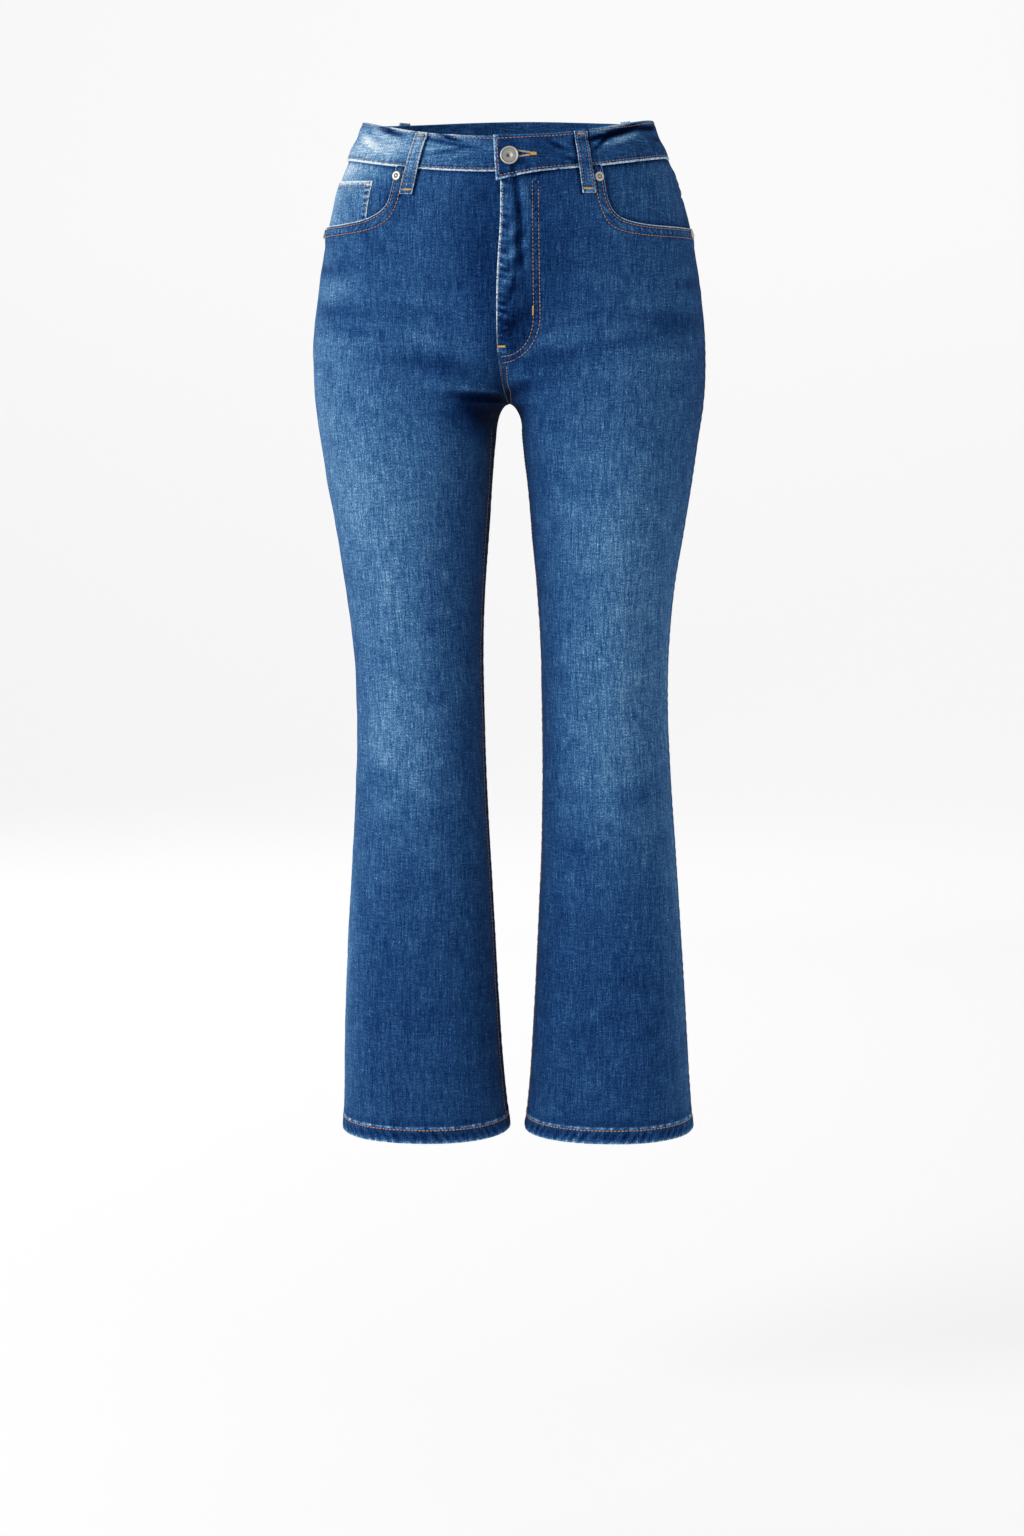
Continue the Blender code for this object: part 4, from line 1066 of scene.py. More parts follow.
def front(name, side):
    """Rows fan from the mouth and the waist down to low_z, and are level below it."""
    mouth_at = steps(MOUTH_LONG, 2.9 * MM, end=False)
    waist_at = steps(WAIST_LONG, 1.9 * MM, start=False)[1:]
    along = np.concatenate([MOUTH_COLUMNS * mouth_at, MOUTH_COLUMNS + WAIST_COLUMNS * waist_at])
    edge, last = MOUTH[side][0], MOUTH_COLUMNS + WAIST_COLUMNS
    waist_s = edge + (centre_end(side, 0) - edge) * waist_at
    waist = np.stack([waist_s, panel_top(side, waist_s)], axis=1)
    top = np.concatenate([mouth_line(side, mouth_at), waist])

    low_z = -100 * MM
    v = np.linspace(0, 1, 52)[:, None] ** 1.3
    top[len(mouth_at) :, 1] += INTO_BAND
    hip = np.linspace(low_z, CROTCH_Z + FRONT_RISE, 34)[1:-1, None]
    low = np.concatenate([hip, leg_heights(side, FRONT_RISE, (40, 13, 196), 1.1 * MM)])
    z = np.concatenate([top[:, 1] * (1 - v) + low_z * v, low + 0 * along])
    evened = share(z, low_z, CROTCH_Z)
    fanned = np.interp(along, (0, MOUTH_COLUMNS, last), (0, MOUTH_FAN, 1))
    level = (fanned * (1 - evened) + along / last * evened) * centre_end(side, z)
    down = np.concatenate([v, 1 + 0 * low])
    s = top[:, 0] * (1 - down) + level * down

    outer = front_face(side, s, z)
    inner = (MOUTH_IN + CLOTH) * mouth_share(side, s, z) - CLOTH - HEM_IN * hem_share(side, z)
    if side > 0:
        inner = inner + fly_lift(s, z)
    keep = (z > KEPT_Z) & ((z < FLY_END_Z) | (side > 0)) & (s > 0.5)
    # painted shadow below the band and beside the belt loops
    worn = front_wear_and_shade(side, s, z, outer) - shade_under_band(side, s, z) - painted_loop_shadow(side, s, z)
    edge_of_mouth = np.where(along <= MOUTH_COLUMNS, 1.0, 0.0)[None, :]
    away = edge_distances(skin(side, s, z, 0))
    worn = worn + 0.95 * edge_of_mouth * bump(away["top"], 0.95 * MM)
    if side > 0:
        open_edge = smooth((z - FLY_FOOT_Z) / (6 * MM))
        saw = 0.78 + 0.32 * pucker(z, 3.4 * MM)
        worn = worn + (0.75 + 0.25 * open_edge) * (z > CROTCH_Z) * saw * bump(away["right"], 1.1 * MM)
    inside = inside_tone(side, z)
    return shell(name, side, s, z, outer, inner, HEM_EDGE_WEAR, worn, keep, inner_tone=inside)


def sewn_on(face, side, s, z, **size):
    """A row of stitches on a piece whose outer face this is."""
    return sewn_row(side, s, z, face(side, s, z), **size)


for word, side in (("right", -1), ("left", 1)):
    piece = front(f"front_cloth_{word}", side)
    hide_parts(f"front_panel_{word}")

    # the pocket mouth's two rows, the hem's one, and the inseam's
    rows = []
    mouth = mouth_line(side, np.linspace(0.004, 0.985, 260))
    for distance in MOUTH_ROWS:
        s, z = mouth.T
        for _ in range(4):  # step off the edge until the row is its distance away
            short = distance - mouth_distance(side, s, z)
            by_s = mouth_reach(side, s + 0.01, z) - mouth_reach(side, s, z)
            by_z = (mouth_reach(side, s, z - MM) - mouth_reach(side, s, z)) * 0.01 * MM_PER_S / MM
            size = np.hypot(by_s, by_z)
            s, z = s + short * by_s / size / MM_PER_S, z - short * by_z / size
        fits = (z < panel_top(side, np.clip(s, 0, 1)) - 1.5 * MM) & (s > 0.004)
        rows.append(sewn_on(front_face, side, s[fits], z[fits]))
    s = np.linspace(0.004, 0.996, 400)
    rows.append(sewn_on(front_face, side, s, HEM_Z[side] + HEM_ROW + 0 * s, width=HEM_THREAD_W))
    z = np.linspace(CROTCH_Z - 22 * MM, HEM_Z[side] + 15 * MM, 500)
    rows.append(sewn_on(front_face, side, 1 - INSEAM_ROW[side] / MM_PER_S + 0 * z, z))
    thread_piece(f"front_stitching_{word}", rows, copper_thread)


# --- Fly ------------------------------------------------------------------------------------
# A facing doubles the left front behind its open edge. Two rows of topstitching in a J hold it,
# with gold bartacks on the inner row and across its foot. Below it the centre seam is felled
# and sewn with two rows.

FACING, FACING_GAP, FACING_END_Z = 1.0 * MM, 0.5 * MM, -158 * MM


def fly_facing():
    top = float(panel_top(1, 1.0)) - MM
    z = np.linspace(top, FACING_END_Z, 40)[:, None]
    down = np.clip((FLY_STRAIGHT_Z - z) / (FLY_STRAIGHT_Z - FLY_END_Z), 0, 1)
    start = SET_BACK * (1 - share(z, *SET_BACK_FADE)) + 0.8 * MM
    far = FLY_WIDTH * np.sqrt(1 - down**2) - 1.5 * MM
    x = start + steps(0.032, 2 * MM) * (far - start)
    s = s_at_x(1, 1, x, z + 0 * x)
    outer = fly_lift(s, z) - CLOTH - FACING_GAP
    return shell("fly_facing_cloth", 1, s, z, outer, outer - FACING, {"left": 0.3})


piece = fly_facing()
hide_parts("fly_facing")


def by_x(x, z):
    """A line on the left front from distances off the front centre."""
    return s_at_x(1, 1, np.asarray(x), np.asarray(z)), np.asarray(z)


rows = []
for number, row in enumerate(J_ROWS):
    straight = np.linspace(-39.5, row["curve_from"], 180)
    turn = row["curve_from"] + np.sin(np.linspace(0, math.pi / 2, 160)) * (row["end"] - row["curve_from"])
    z = np.concatenate([straight, turn[1:]]) * MM
    x = j_x(number, z)
    fits = x > 2.5 * MM
    rows.append(sewn_on(front_face, 1, *by_x(x[fits], z[fits])))
for x_from, x_to, z_from in ((1.5, 1.6, -197), (6.8, 7.0, -199)):
    z = np.linspace(z_from * MM, CROTCH_Z + 0.8 * MM, 80)
    rows.append(sewn_on(front_face, 1, *by_x(np.linspace(x_from, x_to, 80) * MM, z)))
z = np.linspace(-42 * MM, FLY_OPEN_Z, 200)
s = centre_end(1, z) - 1.9 * MM / MM_PER_S
edge_row = [sewn_on(front_face, 1, s, z, pitch=2.6 * MM, length=2.0 * MM, width=0.55 * MM)]
thread_piece("fly_stitching", rows, copper_thread)
thread_piece("fly_edge_stitching", edge_row, pale_thread)

rows = []
for x, z, turn, length, width in ((31.5, -151, 90, 8.0, 1.5), (4.4, -181, 0, 7.2, 2.1)):
    s, z = by_x(x * MM, z * MM)
    rows.append(tack(1, float(s), float(z), float(front_face(1, s, z)), turn, length * MM, width * MM))
thread_piece("fly_bartacks", rows, gold_thread)


# --- Front pockets --------------------------------------------------------------------------
# Behind each mouth a piece of denim, sewn into the side seam, faces the pocket bag. On the
# wearer's right the coin pocket lies on it: its top hemmed, its inner edge sewn down with a
# pucker, and a gold bartack at each end of the hem.

UNDERLAY_OUT, UNDERLAY_IN = -1.7 * MM, -2.8 * MM
UNDERLAY_RISE, UNDERLAY_RISE_S = 1.4 * MM, 0.10
UNDERLAY_TUCK, UNDERLAY_S = 11 * MM, 0.63
POCKET_LIGHTER = {-1: 0.20, 1: 0.06}  # how much lighter each underlay is near its side seam
COIN_S, COIN_TOP_OUT, COIN_TOP_IN = 0.47, -33 * MM, -37 * MM
COIN_OUT, COIN_IN, COIN_TUCK = -0.35 * MM, -1.4 * MM, 2 * MM
COIN_HEM_ROW, COIN_EDGE_ROW, COIN_PITCH, COIN_START = 5 * MM, 3.4 * MM, 5.2 * MM, 0.003


def underlay(name, side):
    s = steps(140 * MM, 2.2 * MM) * UNDERLAY_S
    low = np.minimum(mouth_low(side, np.minimum(s, MOUTH[side][0] * 0.93)), -60 * MM) - UNDERLAY_TUCK
    v = steps(60 * MM, 2 * MM)[:, None]
    z = (panel_top(side, s) + INTO_BAND) * (1 - v) + low * v
    rise = UNDERLAY_RISE * (1 - smooth(s / UNDERLAY_RISE_S))
    if side < 0:
        rise = rise * (1 - share(z, COIN_TOP_OUT + 11 * MM, COIN_TOP_OUT + 3 * MM))
    # painted shadow under the mouth's edge and the band, which also keep it unfaded
    shade = -0.30 * np.exp(-np.abs(mouth_distance(side, s, z)) / (2.6 * MM)) - shade_under_band(side, s, z)
    shade = shade + POCKET_LIGHTER[side] * bump(s - 0.2, 0.22)
    return shell(name, side, s, z, UNDERLAY_OUT + rise, UNDERLAY_IN + rise, extra_wear_and_shade=shade)


for word, side in (("right", -1), ("left", 1)):
    piece = underlay(f"pocket_underlay_cloth_{word}", side)
    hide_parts(f"pocket_underlay_{word}")


def coin_top(s):
    return COIN_TOP_OUT + (COIN_TOP_IN - COIN_TOP_OUT) * s / COIN_S


def coin_face(s, z):
    """The coin pocket's face: a ridge on its hem, puckers down its inner edge."""
    from_top, from_edge = coin_top(s) - z, (COIN_S - s) * MM_PER_S
    face = COIN_OUT + 0.25 * MM * bump(from_top - 1.6 * MM, 1.6 * MM)
    face = face - 0.3 * MM * bump(from_top - COIN_HEM_ROW, 0.9 * MM)
    face = face - 0.3 * MM * bump(from_edge - COIN_EDGE_ROW, 1.0 * MM)
    return face + 0.35 * MM * pucker(z, COIN_PITCH) * bump(from_edge - 4 * MM, 3.5 * MM)


def coin_pocket():
    s = COIN_START + steps(105 * MM, 1.5 * MM) * (COIN_S - COIN_START)
    low = mouth_low(-1, s) - COIN_TUCK
    v = steps(42 * MM, 1.3 * MM)[:, None]
    z = coin_top(s) * (1 - v) + low * v
    from_top, from_edge = coin_top(s) - z, (COIN_S - s) * MM_PER_S
    worn = 0.17 + 0.46 * pucker(z, COIN_PITCH) * bump(from_edge - 4.0 * MM, 2.8 * MM)
    # darker along the hem's and the edge's rows of stitching, as painted shade in their grooves
    worn = worn + 0.14 * bump(from_top - 2.2 * MM, 2.4 * MM) - 0.16 * bump(from_top - COIN_HEM_ROW, 1.1 * MM)
    worn = worn - 0.14 * bump(from_edge - COIN_EDGE_ROW, 0.9 * MM)
    edges = {"top": 0.6, "right": 0.6}
    return shell("coin_pocket_cloth", -1, s, z, coin_face(s, z), COIN_IN, edges, worn)


piece = coin_pocket()
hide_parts("coin_pocket")
s = np.linspace(0.012, COIN_S - 0.018, 120)
z = coin_top(s) - COIN_HEM_ROW
rows = [sewn_row(-1, s, z, coin_face(s, z), width=0.65 * MM)]
z = np.linspace(-40.5 * MM, -64 * MM, 60)
s = COIN_S - COIN_EDGE_ROW / MM_PER_S + 0 * z
rows.append(sewn_row(-1, s, z, coin_face(s, z), pitch=3.0 * MM, length=2.4 * MM, width=0.65 * MM))
thread_piece("coin_pocket_stitching", rows, copper_thread)
rows = []
for s, z, turn, length in ((COIN_S - 0.024, -39.0 * MM, 0, 4.2 * MM), (0.022, -36.5 * MM, 90, 4.0 * MM)):
    rows.append(tack(-1, s, z, float(coin_face(s, z)), turn, length, 1.5 * MM))
thread_piece("coin_pocket_bartacks", rows, gold_thread)


# --- Backs and yokes ------------------------------------------------------------------------
# The seat and back legs are cut like the fronts but fuller. The yokes shape the waist to the
# seat. Yoke and centre-back seams are felled and sewn with two rows of the same thread.

YOKE_SIDE, YOKE_CENTRE = 30 * MM, 66 * MM
FELL_ROWS, FELL_RIDGE = (1.7 * MM, 7.9 * MM), 4.8 * MM
YOKE_LAP, LAP_DROP = 3 * MM, 1.4 * MM  # the back runs on under the yoke, one cloth lower
YOKE_PITCH = 7 * MM


def yoke_line(s):
    return band_seam(s) - YOKE_SIDE - (YOKE_CENTRE - YOKE_SIDE) * np.abs(s)


def back_face(side, s, z):
    """How far the outer face of a back stands out of the surface."""
    s, z = arrays(s, z)
    face = HEM_OUT * hem_share(side, z) + hem_relief(side, s, z) + seam_relief(s, z, 0)
    face = face + np.where(z < CROTCH_Z, seam_relief(s, z, -1), 0)
    if side > 0:
        x, rise = off_centre(side, s, z), z > CROTCH_Z
        face = face - 0.35 * MM * sewn_down(x, FELL_ROWS, 0.9 * MM) * rise
        face = face + 0.4 * MM * bump(x - FELL_RIDGE, 2.6 * MM) * rise * (1 + 0.5 * pucker(z, 6 * MM))
    from_yoke = yoke_line(s) - z
    ripple = 0.12 * MM * pucker(s * MM_PER_S, 9 * MM) * bump(from_yoke, 7 * MM)
    return face + ripple - 0.3 * MM * bump(from_yoke, 1.2 * MM)


def back(name, side):
    """Rows open out evenly below the yoke, and are level from the foot of that part down."""
    s_row = -steps(240 * MM, 2.7 * MM)
    heights = leg_heights(side, BACK_RISE, (42, 11, 160), 1.2 * MM)
    even_rows, foot = 21, 11
    span = np.linspace(0, 1, even_rows)[:, None] ** 1.25
    upper = (yoke_line(s_row) + YOKE_LAP) * (1 - span) + heights[foot] * span
    z = np.concatenate([upper, heights[foot + 1 :] + 0 * s_row])
    s = s_row + 0 * z
    tucked = LAP_DROP * smooth((z - yoke_line(s) + 0.5 * MM) / (0.9 * MM))
    outer = back_face(side, s, z) - tucked
    inner = -CLOTH - HEM_IN * hem_share(side, z) - tucked
    worn = hem_wear_and_shade(side, s, z) + seam_wear(s, z, 5 * MM)
    if side > 0:
        ridge = bump(off_centre(side, s, z) - FELL_RIDGE, 3 * MM) * (z > CROTCH_Z)
        worn = worn + 0.10 * pucker(z, 6 * MM) * ridge
    # darker just below the yoke: painted shadow of its edge, and dye it keeps unfaded
    worn = worn - 0.22 * np.exp(-np.maximum(0, yoke_line(s) - z) / (1.5 * MM))
    inside = inside_tone(side, z)
    return shell(name, side, s, z, outer, inner, HEM_EDGE_WEAR, worn, z > KEPT_Z, inner_tone=inside)


def yoke_face(side, s, z):
    """The yoke lies over the back panel along its lower edge."""
    s, z = arrays(s, z)
    up = z - yoke_line(s)
    face = 0.5 * MM * bump(up - 4.5 * MM, 4 * MM) + seam_relief(s, z, 0)
    face = face - 0.35 * MM * sewn_down(up, FELL_ROWS, 0.9 * MM)
    face = face + 0.2 * MM * pucker(s * MM_PER_S, YOKE_PITCH) * bump(up - FELL_RIDGE, 3.5 * MM)
    if side > 0:
        x = off_centre(side, s, z)
        face = face - 0.35 * MM * sewn_down(x, FELL_ROWS, 0.9 * MM)
        face = face + 0.4 * MM * bump(x - FELL_RIDGE, 2.6 * MM)
    return face


def yoke(name, side):
    s_row = -steps(210 * MM, 2.2 * MM)
    v = steps(50 * MM, 1.5 * MM)[:, None]
    z = (panel_top(side, s_row) + INTO_BAND) * (1 - v) + yoke_line(s_row) * v
    s = s_row + 0 * z
    worn = 0.12 * pucker(s * MM_PER_S, YOKE_PITCH) * bump(z - yoke_line(s) - FELL_RIDGE, 4 * MM)
    # painted shadow below the band
    worn = worn - shade_under_band(side, s, z)
    return shell(name, side, s, z, yoke_face(side, s, z), -CLOTH, {"bottom": 0.28}, worn, z > KEPT_Z)


for word, side in (("right", -1), ("left", 1)):
    piece = back(f"back_cloth_{word}", side)
    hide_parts(f"back_panel_{word}")
    piece = yoke(f"yoke_cloth_{word}", side)
    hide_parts(f"back_yoke_{word}")
    rows = []
    s = -np.linspace(0.004, 0.996, 300)
    for row in FELL_ROWS:
        rows.append(sewn_on(yoke_face, side, s, yoke_line(s) + row))
    rows.append(sewn_on(back_face, side, s, HEM_Z[side] + HEM_ROW + 0 * s, width=HEM_THREAD_W))
    if side > 0:
        waist_z, yoke_z = float(panel_top(1, -1.0)) - 1.5 * MM, float(yoke_line(-1.0))
        for x in FELL_ROWS:
            z = np.linspace(waist_z, yoke_z + MM, 60)
            rows.append(sewn_on(yoke_face, 1, s_at_x(1, -1, x, z), z))
            z = np.linspace(yoke_z - MM, CROTCH_Z + 1.5 * MM, 200)
            rows.append(sewn_on(back_face, 1, s_at_x(1, -1, x, z), z))
    thread_piece(f"back_stitching_{word}", rows, copper_thread)


# --- Back pockets ---------------------------------------------------------------------------
# Plain five-sided patches, pressed under and sewn on with two rows, the top hemmed first, and
# bartacked where a hand would tear them.

PATCH_TOP_Z = -93 * MM
PATCH_TOP_X, PATCH_LOW_X = (33 * MM, 147 * MM), (41 * MM, 139 * MM)
PATCH_SIDE, PATCH_POINT = 112 * MM, 20 * MM
PATCH_GAP, PATCH_PUFF = 0.6 * MM, 0.9 * MM
PATCH_ROWS, PATCH_RIDGE, PATCH_HEM_ROW = (1.8 * MM, 8.0 * MM), 4.8 * MM, 14 * MM
PATCH_WIDE, PATCH_LONG = 106 * MM, 122 * MM
PATCH_SLANT = 0.92  # of its pointed foot: how far in from it for each mm down


def patch_low(u):
    """How long the pocket is at u."""
    return PATCH_SIDE + PATCH_POINT * (1 - np.abs(2 * u - 1))


def patch_place(side, u, v):
    """A place on the pocket: u from its inner to its outer edge, v from its top down."""
    z = PATCH_TOP_Z - patch_low(u) * v
    near = PATCH_TOP_X[0] + (PATCH_LOW_X[0] - PATCH_TOP_X[0]) * v
    far = PATCH_TOP_X[1] + (PATCH_LOW_X[1] - PATCH_TOP_X[1]) * v
    return s_at_x(side, -1, near + (far - near) * u, z), z


def patch_sewing(u, v):
    """Distances from the pocket's top and its other edges, and the ripples along each."""
    low = patch_low(u)
    from_edge = np.minimum(np.minimum(u, 1 - u) * PATCH_WIDE, low * (1 - v) * PATCH_SLANT)
    round_ripple = pucker(u * 0.1 + v * 0.11, 6.5 * MM) * bump(from_edge - PATCH_RIDGE, 3 * MM)
    top_ripple = pucker(u * PATCH_WIDE, 8 * MM) * bump(low * v - 8 * MM, 6 * MM)
    return low * v, from_edge, round_ripple, top_ripple


def patch_face(u, v):
    """Its face over the gap: puffed a little, sunk along its rows."""
    from_top, from_edge, round_ripple, top_ripple = patch_sewing(u, v)
    puff = smooth(from_edge / (34 * MM)) * smooth(from_top / (30 * MM) + 0.35)
    face = PATCH_GAP + CLOTH + PATCH_PUFF * puff - 0.32 * MM * sewn_down(from_edge, PATCH_ROWS, 0.8 * MM)
    face = face - 0.32 * MM * bump(from_top - PATCH_HEM_ROW, 0.9 * MM)
    return face + 0.2 * MM * (round_ripple + top_ripple)


for word, side in (("right", -1), ("left", 1)):
    u, v = arrays(steps(PATCH_WIDE, 1.9 * MM), steps(PATCH_LONG, 1.9 * MM)[:, None])
    s, z = patch_place(side, u, v)
    _, _, round_ripple, top_ripple = patch_sewing(u, v)
    worn = 0.12 * round_ripple + 0.08 * top_ripple
    edges = {"top": 0.4, "left": 0.3, "right": 0.3, "bottom": 0.3}
    grain = np.stack([u * PATCH_WIDE / MM + 30 * side, -120 * v, 0 * u], axis=-1)
    piece = shell(
        f"back_pocket_cloth_{word}", side, s, z, patch_face(u, v), PATCH_GAP, edges, worn, grain=grain
    )
    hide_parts(f"back_pocket_{word}")
    rows = []
    for row in PATCH_ROWS:
        inset = row / PATCH_WIDE
        down = np.linspace(0.012, 1 - row / PATCH_SIDE / PATCH_SLANT, 120)
        across = np.linspace(inset, 1 - inset, 120)
        u = np.concatenate([inset + 0 * down, across, (1 - inset) + 0 * down])
        v = np.concatenate([down, 1 - row / PATCH_SLANT / patch_low(across), down[::-1]])
        rows.append(sewn_row(side, *patch_place(side, u, v), patch_face(u, v)))
    u = np.linspace(0.02, 0.98, 150)
    v = PATCH_HEM_ROW / patch_low(u)
    rows.append(sewn_row(side, *patch_place(side, u, v), patch_face(u, v)))
    thread_piece(f"back_pocket_stitching_{word}", rows, copper_thread)
    rows = []
    for u in (0.045, 0.955):
        s, z = patch_place(side, np.array(u), np.array(0.05))
        rows.append(tack(side, float(s), float(z), float(patch_face(u, 0.05)), 90, 9 * MM, 1.6 * MM))
    thread_piece(f"back_pocket_bartacks_{word}", rows, gold_thread)


# --- Waistband ------------------------------------------------------------------------------
# One straight strip, folded over the tops of the panels and edge-stitched all round. The left
# end laps over the right and buttons. Its keyhole buttonhole is worked in pale thread that has
# worn, with a gold bar at its end.

BAND_TUCK, BAND_SUNK = 0.7 * MM, 0.4 * MM
OVER_END, OVER_END_LOW, UNDER_END = 4 * MM, 0.5 * MM, 25 * MM
OVER_FLAT, OVER_RAMP = 29 * MM, 62 * MM
BAND_ROW, BAND_HEIGHT, BAND_FRONT_HEIGHT = 2.9 * MM, 34.5 * MM, 34 * MM


def place_round(turn):
    """(side, s) of a place round the waist: 0 at the front centre, 1 at the left side seam."""
    turn = (np.asarray(turn, float) + 2) % 4 - 2
    return np.where(turn >= 0, 1.0, -1.0), 1 - np.abs(turn)


def band_place(turn, up):
    """Side, s, height and the lift of a place on the band. up is 0 at its seam, 1 at its top."""
    quarter = waist_width(0)
    side, s = place_round(turn)
    from_centre = (turn + 4) * quarter
    over = OVER_LIFT * (1 - smooth((from_centre - OVER_FLAT) / (OVER_RAMP - OVER_FLAT)))
    over = np.where(turn < -3, over, 0)
    low = band_seam(s) - np.where(turn < -3, droop(np.maximum(from_centre, 0)), 0)
    z = low + (band_top(s) - low) * up
    return side, s, z, over


def band_face(turn, up):
    """Its outer face: rolled hard over the seam's turnings, sunk along the stitching."""
    _, s, _, over = band_place(turn, up)
    tall = band_top(s) - band_seam(s)
    from_low, from_top = up * tall, (1 - up) * tall
    tuck = BAND_TUCK * bump(up - 0.5, 0.16) * smooth((np.cos(turn * math.pi) + 1) / -2 + 0.9)
    face = BAND_OUT + over - tuck
    for distance, rolled, width in ((from_low, 0.35 * MM, 1.1 * MM), (from_top, 0.15 * MM, 1.2 * MM)):
        face = face + rolled * bump(distance - 1.2 * MM, width)
        face = face - BAND_SUNK * bump(distance - BAND_ROW, 0.8 * MM)
    along = turn * waist_width(0)
    face = face + 0.2 * MM * pucker(along, 8 * MM) * bump(from_low - 4.5 * MM, 3 * MM)
    return face + 0.2 * MM * pucker(along, 9 * MM, 2) * bump(from_top - 4.5 * MM, 3 * MM)


def end_slant(turn, up, end):
    """Moves places near the buttoned end, which slants."""
    quarter = waist_width(0)
    slant = (OVER_END - OVER_END_LOW) / quarter * (1 - up)
    return turn + slant * smooth(1 - (turn - end) * quarter / (20 * MM))


def waistband():
    quarter = waist_width(0)
    start, end = UNDER_END / quarter, -4 - OVER_END / quarter
    length = (start - end) * quarter
    up = steps(35 * MM, 1.5 * MM)[:, None]
    turn = end_slant(start + (end - start) * steps(length, 1.9 * MM), up, end)
    side, s, z, over = band_place(turn, up)
    along = turn * quarter
    from_low, from_top = up * BAND_FRONT_HEIGHT, (1 - up) * BAND_FRONT_HEIGHT
    worn = 0.10 * pucker(along, 8 * MM) * bump(from_low - 4.5 * MM, 3.5 * MM)
    worn = worn + (0.34 + 0.12 * pucker(along, 11 * MM, 2)) * bump(from_low - 0.8 * MM, 0.6 * MM)
    worn = worn + 0.10 * bump(from_top - 1 * MM, 1.2 * MM)
    # painted shade in the sunk rows of stitching, and painted shadow beside the belt loops
    worn = worn - 0.13 * (bump(from_low - BAND_ROW, 1.1 * MM) + bump(from_top - BAND_ROW, 1.1 * MM))
    worn = worn - painted_loop_shadow(side, s, z)
    # the band is stiff, so its buckles are sharp: darker in them, painted shade, paler on their crests
    worn = worn + 0.13 * np.clip(relief(side, s, z) / MM, -2.2, 1.2)
    from_end = (turn - end) * quarter
    worn = worn + 0.3 * bump(from_end - 2.2 * MM, 1.6 * MM) * (0.6 + 0.5 * pucker(z, 3 * MM))
    worn = worn - 0.09 * bump(from_end - 14 * MM, 12 * MM)
    grain = np.stack([z / MM + 40, along / MM, 0 * turn], axis=-1)  # cut along the roll's length
    edges = {"top": 0.55, "bottom": 0.2, "right": 0.6}
    return shell(
        "waistband_cloth", side, s, z, band_face(turn, up + 0 * turn), BAND_IN + over, edges, worn,
        grain=grain, inner_tone=UNWASHED,
    )


piece = waistband()
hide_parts("waistband")

quarter = waist_width(0)
band_end = -4 - OVER_END / quarter
end_row = band_end + 3.2 * MM / quarter
level = np.linspace(UNDER_END / quarter - 0.01, end_row, 1400)
upright = np.linspace(0.09, 0.91, 40)
low_row = BAND_ROW / BAND_HEIGHT
rows = []
for turn, up in ((level, low_row), (level, 1 - low_row), (end_row + 0 * upright, upright)):
    turn = end_slant(turn, up, band_end)
    side, s, z, _ = band_place(turn, up)
    rows.append(sewn_row(side, s, z, band_face(turn, up)))
thread_piece("waistband_stitching", rows, copper_thread)

HOLE_Z = -17.9 * MM
HOLE_X = (17.5 * MM, 28.5 * MM)  # from under the button to the bar
HOLE_PITCH, HOLE_BAR = 0.55 * MM, 5.0 * MM
pale, gold = [], []
for x in np.arange(*HOLE_X, HOLE_PITCH):
    shut = (HOLE_X[1] - x) / (HOLE_X[1] - HOLE_X[0])
    for way in (-1, 1):
        z = HOLE_Z + way * (0.9 + 1.5 * shut) * MM
        s = float(s_at_x(1, 1, x, z))
        here, out, across, up_way = cloth_frame(1.0, s, z, OVER_LIFT + BAND_OUT + 0.1 * MM)
        (gold if shut < 0.12 else pale).append(
            bars(here[None], (up_way + 0.1 * across)[None], out[None], 1.9 * MM, 0.6 * MM, 0.5 * MM)
        )
s = float(s_at_x(1, 1, HOLE_X[1] + HOLE_BAR / 2, HOLE_Z))
gold.append(tack(1, s, HOLE_Z, OVER_LIFT + BAND_OUT, 0, HOLE_BAR, 3.0 * MM))
thread_piece("buttonhole_worn_thread", pale, pale_thread)
thread_piece("buttonhole_bar", gold, gold_thread)


# --- Belt loops -----------------------------------------------------------------------------
# Five folded strips, cover-stitched along both edges, which fray white, and bartacked at both
# ends: one over the band's top, the other below its seam.

LOOP_THICK, LOOP_OVER_TOP, LOOP_CLEAR = 1.9 * MM, -0.3 * MM, 1.3 * MM
LOOP_LONG, LOOP_EDGE_ROW, LOOP_PITCH = 55 * MM, 2.1 * MM, 4.2 * MM


def loop_place(spec, down, across):
    """Side, s, z and the lift of a loop's under face. across runs from -0.5 to 0.5."""
    side, face, top_x, low_x = spec
    middle_s = loop_s(face, top_x)
    top = float(band_top(middle_s)) + LOOP_OVER_TOP
    low = float(band_seam(middle_s)) - LOOP_BELOW_SEAM
    z = top + (low - top) * down
    middle = s_at_x(side, face, top_x + (low_x - top_x) * down, z)
    one_way = bare_point(side, middle + 0.01, z) - bare_point(side, middle - 0.01, z)
    s = middle - across * LOOP_WIDTH / (np.linalg.norm(one_way, axis=-1) / 0.02)
    on_band = BAND_OUT + GAP
    stations = [0, 0.12, 0.3, 0.5, 0.68, 0.86, 1.0]
    lifts = [on_band, on_band + 0.5 * LOOP_CLEAR, on_band + LOOP_CLEAR, on_band + LOOP_CLEAR]
    lifts += [on_band + 0.5 * MM, 1.1 * MM, 1.5 * GAP]
    lift = np.interp(down, stations, lifts)
    if face > 0:
        lift = lift + MOUTH_OUT * mouth_share(side, s, z) * smooth((band_seam(middle_s) - z) / (8 * MM))
    return side + 0.0 * z, s, z, lift


def loop_face(down, across, lift):
    from_edge = (0.5 - np.abs(across)) * LOOP_WIDTH
    crown = 0.35 * MM * bump(from_edge, 1.3 * MM) + 0.15 * MM * bump(across, 0.22)
    groove = 0.35 * MM * bump(from_edge - LOOP_EDGE_ROW, 0.7 * MM)
    ripple = 0.14 * MM * pucker(down * LOOP_LONG, LOOP_PITCH) * bump(from_edge - LOOP_EDGE_ROW, 2 * MM)
    return lift + LOOP_THICK - 0.35 * MM + crown - groove + ripple


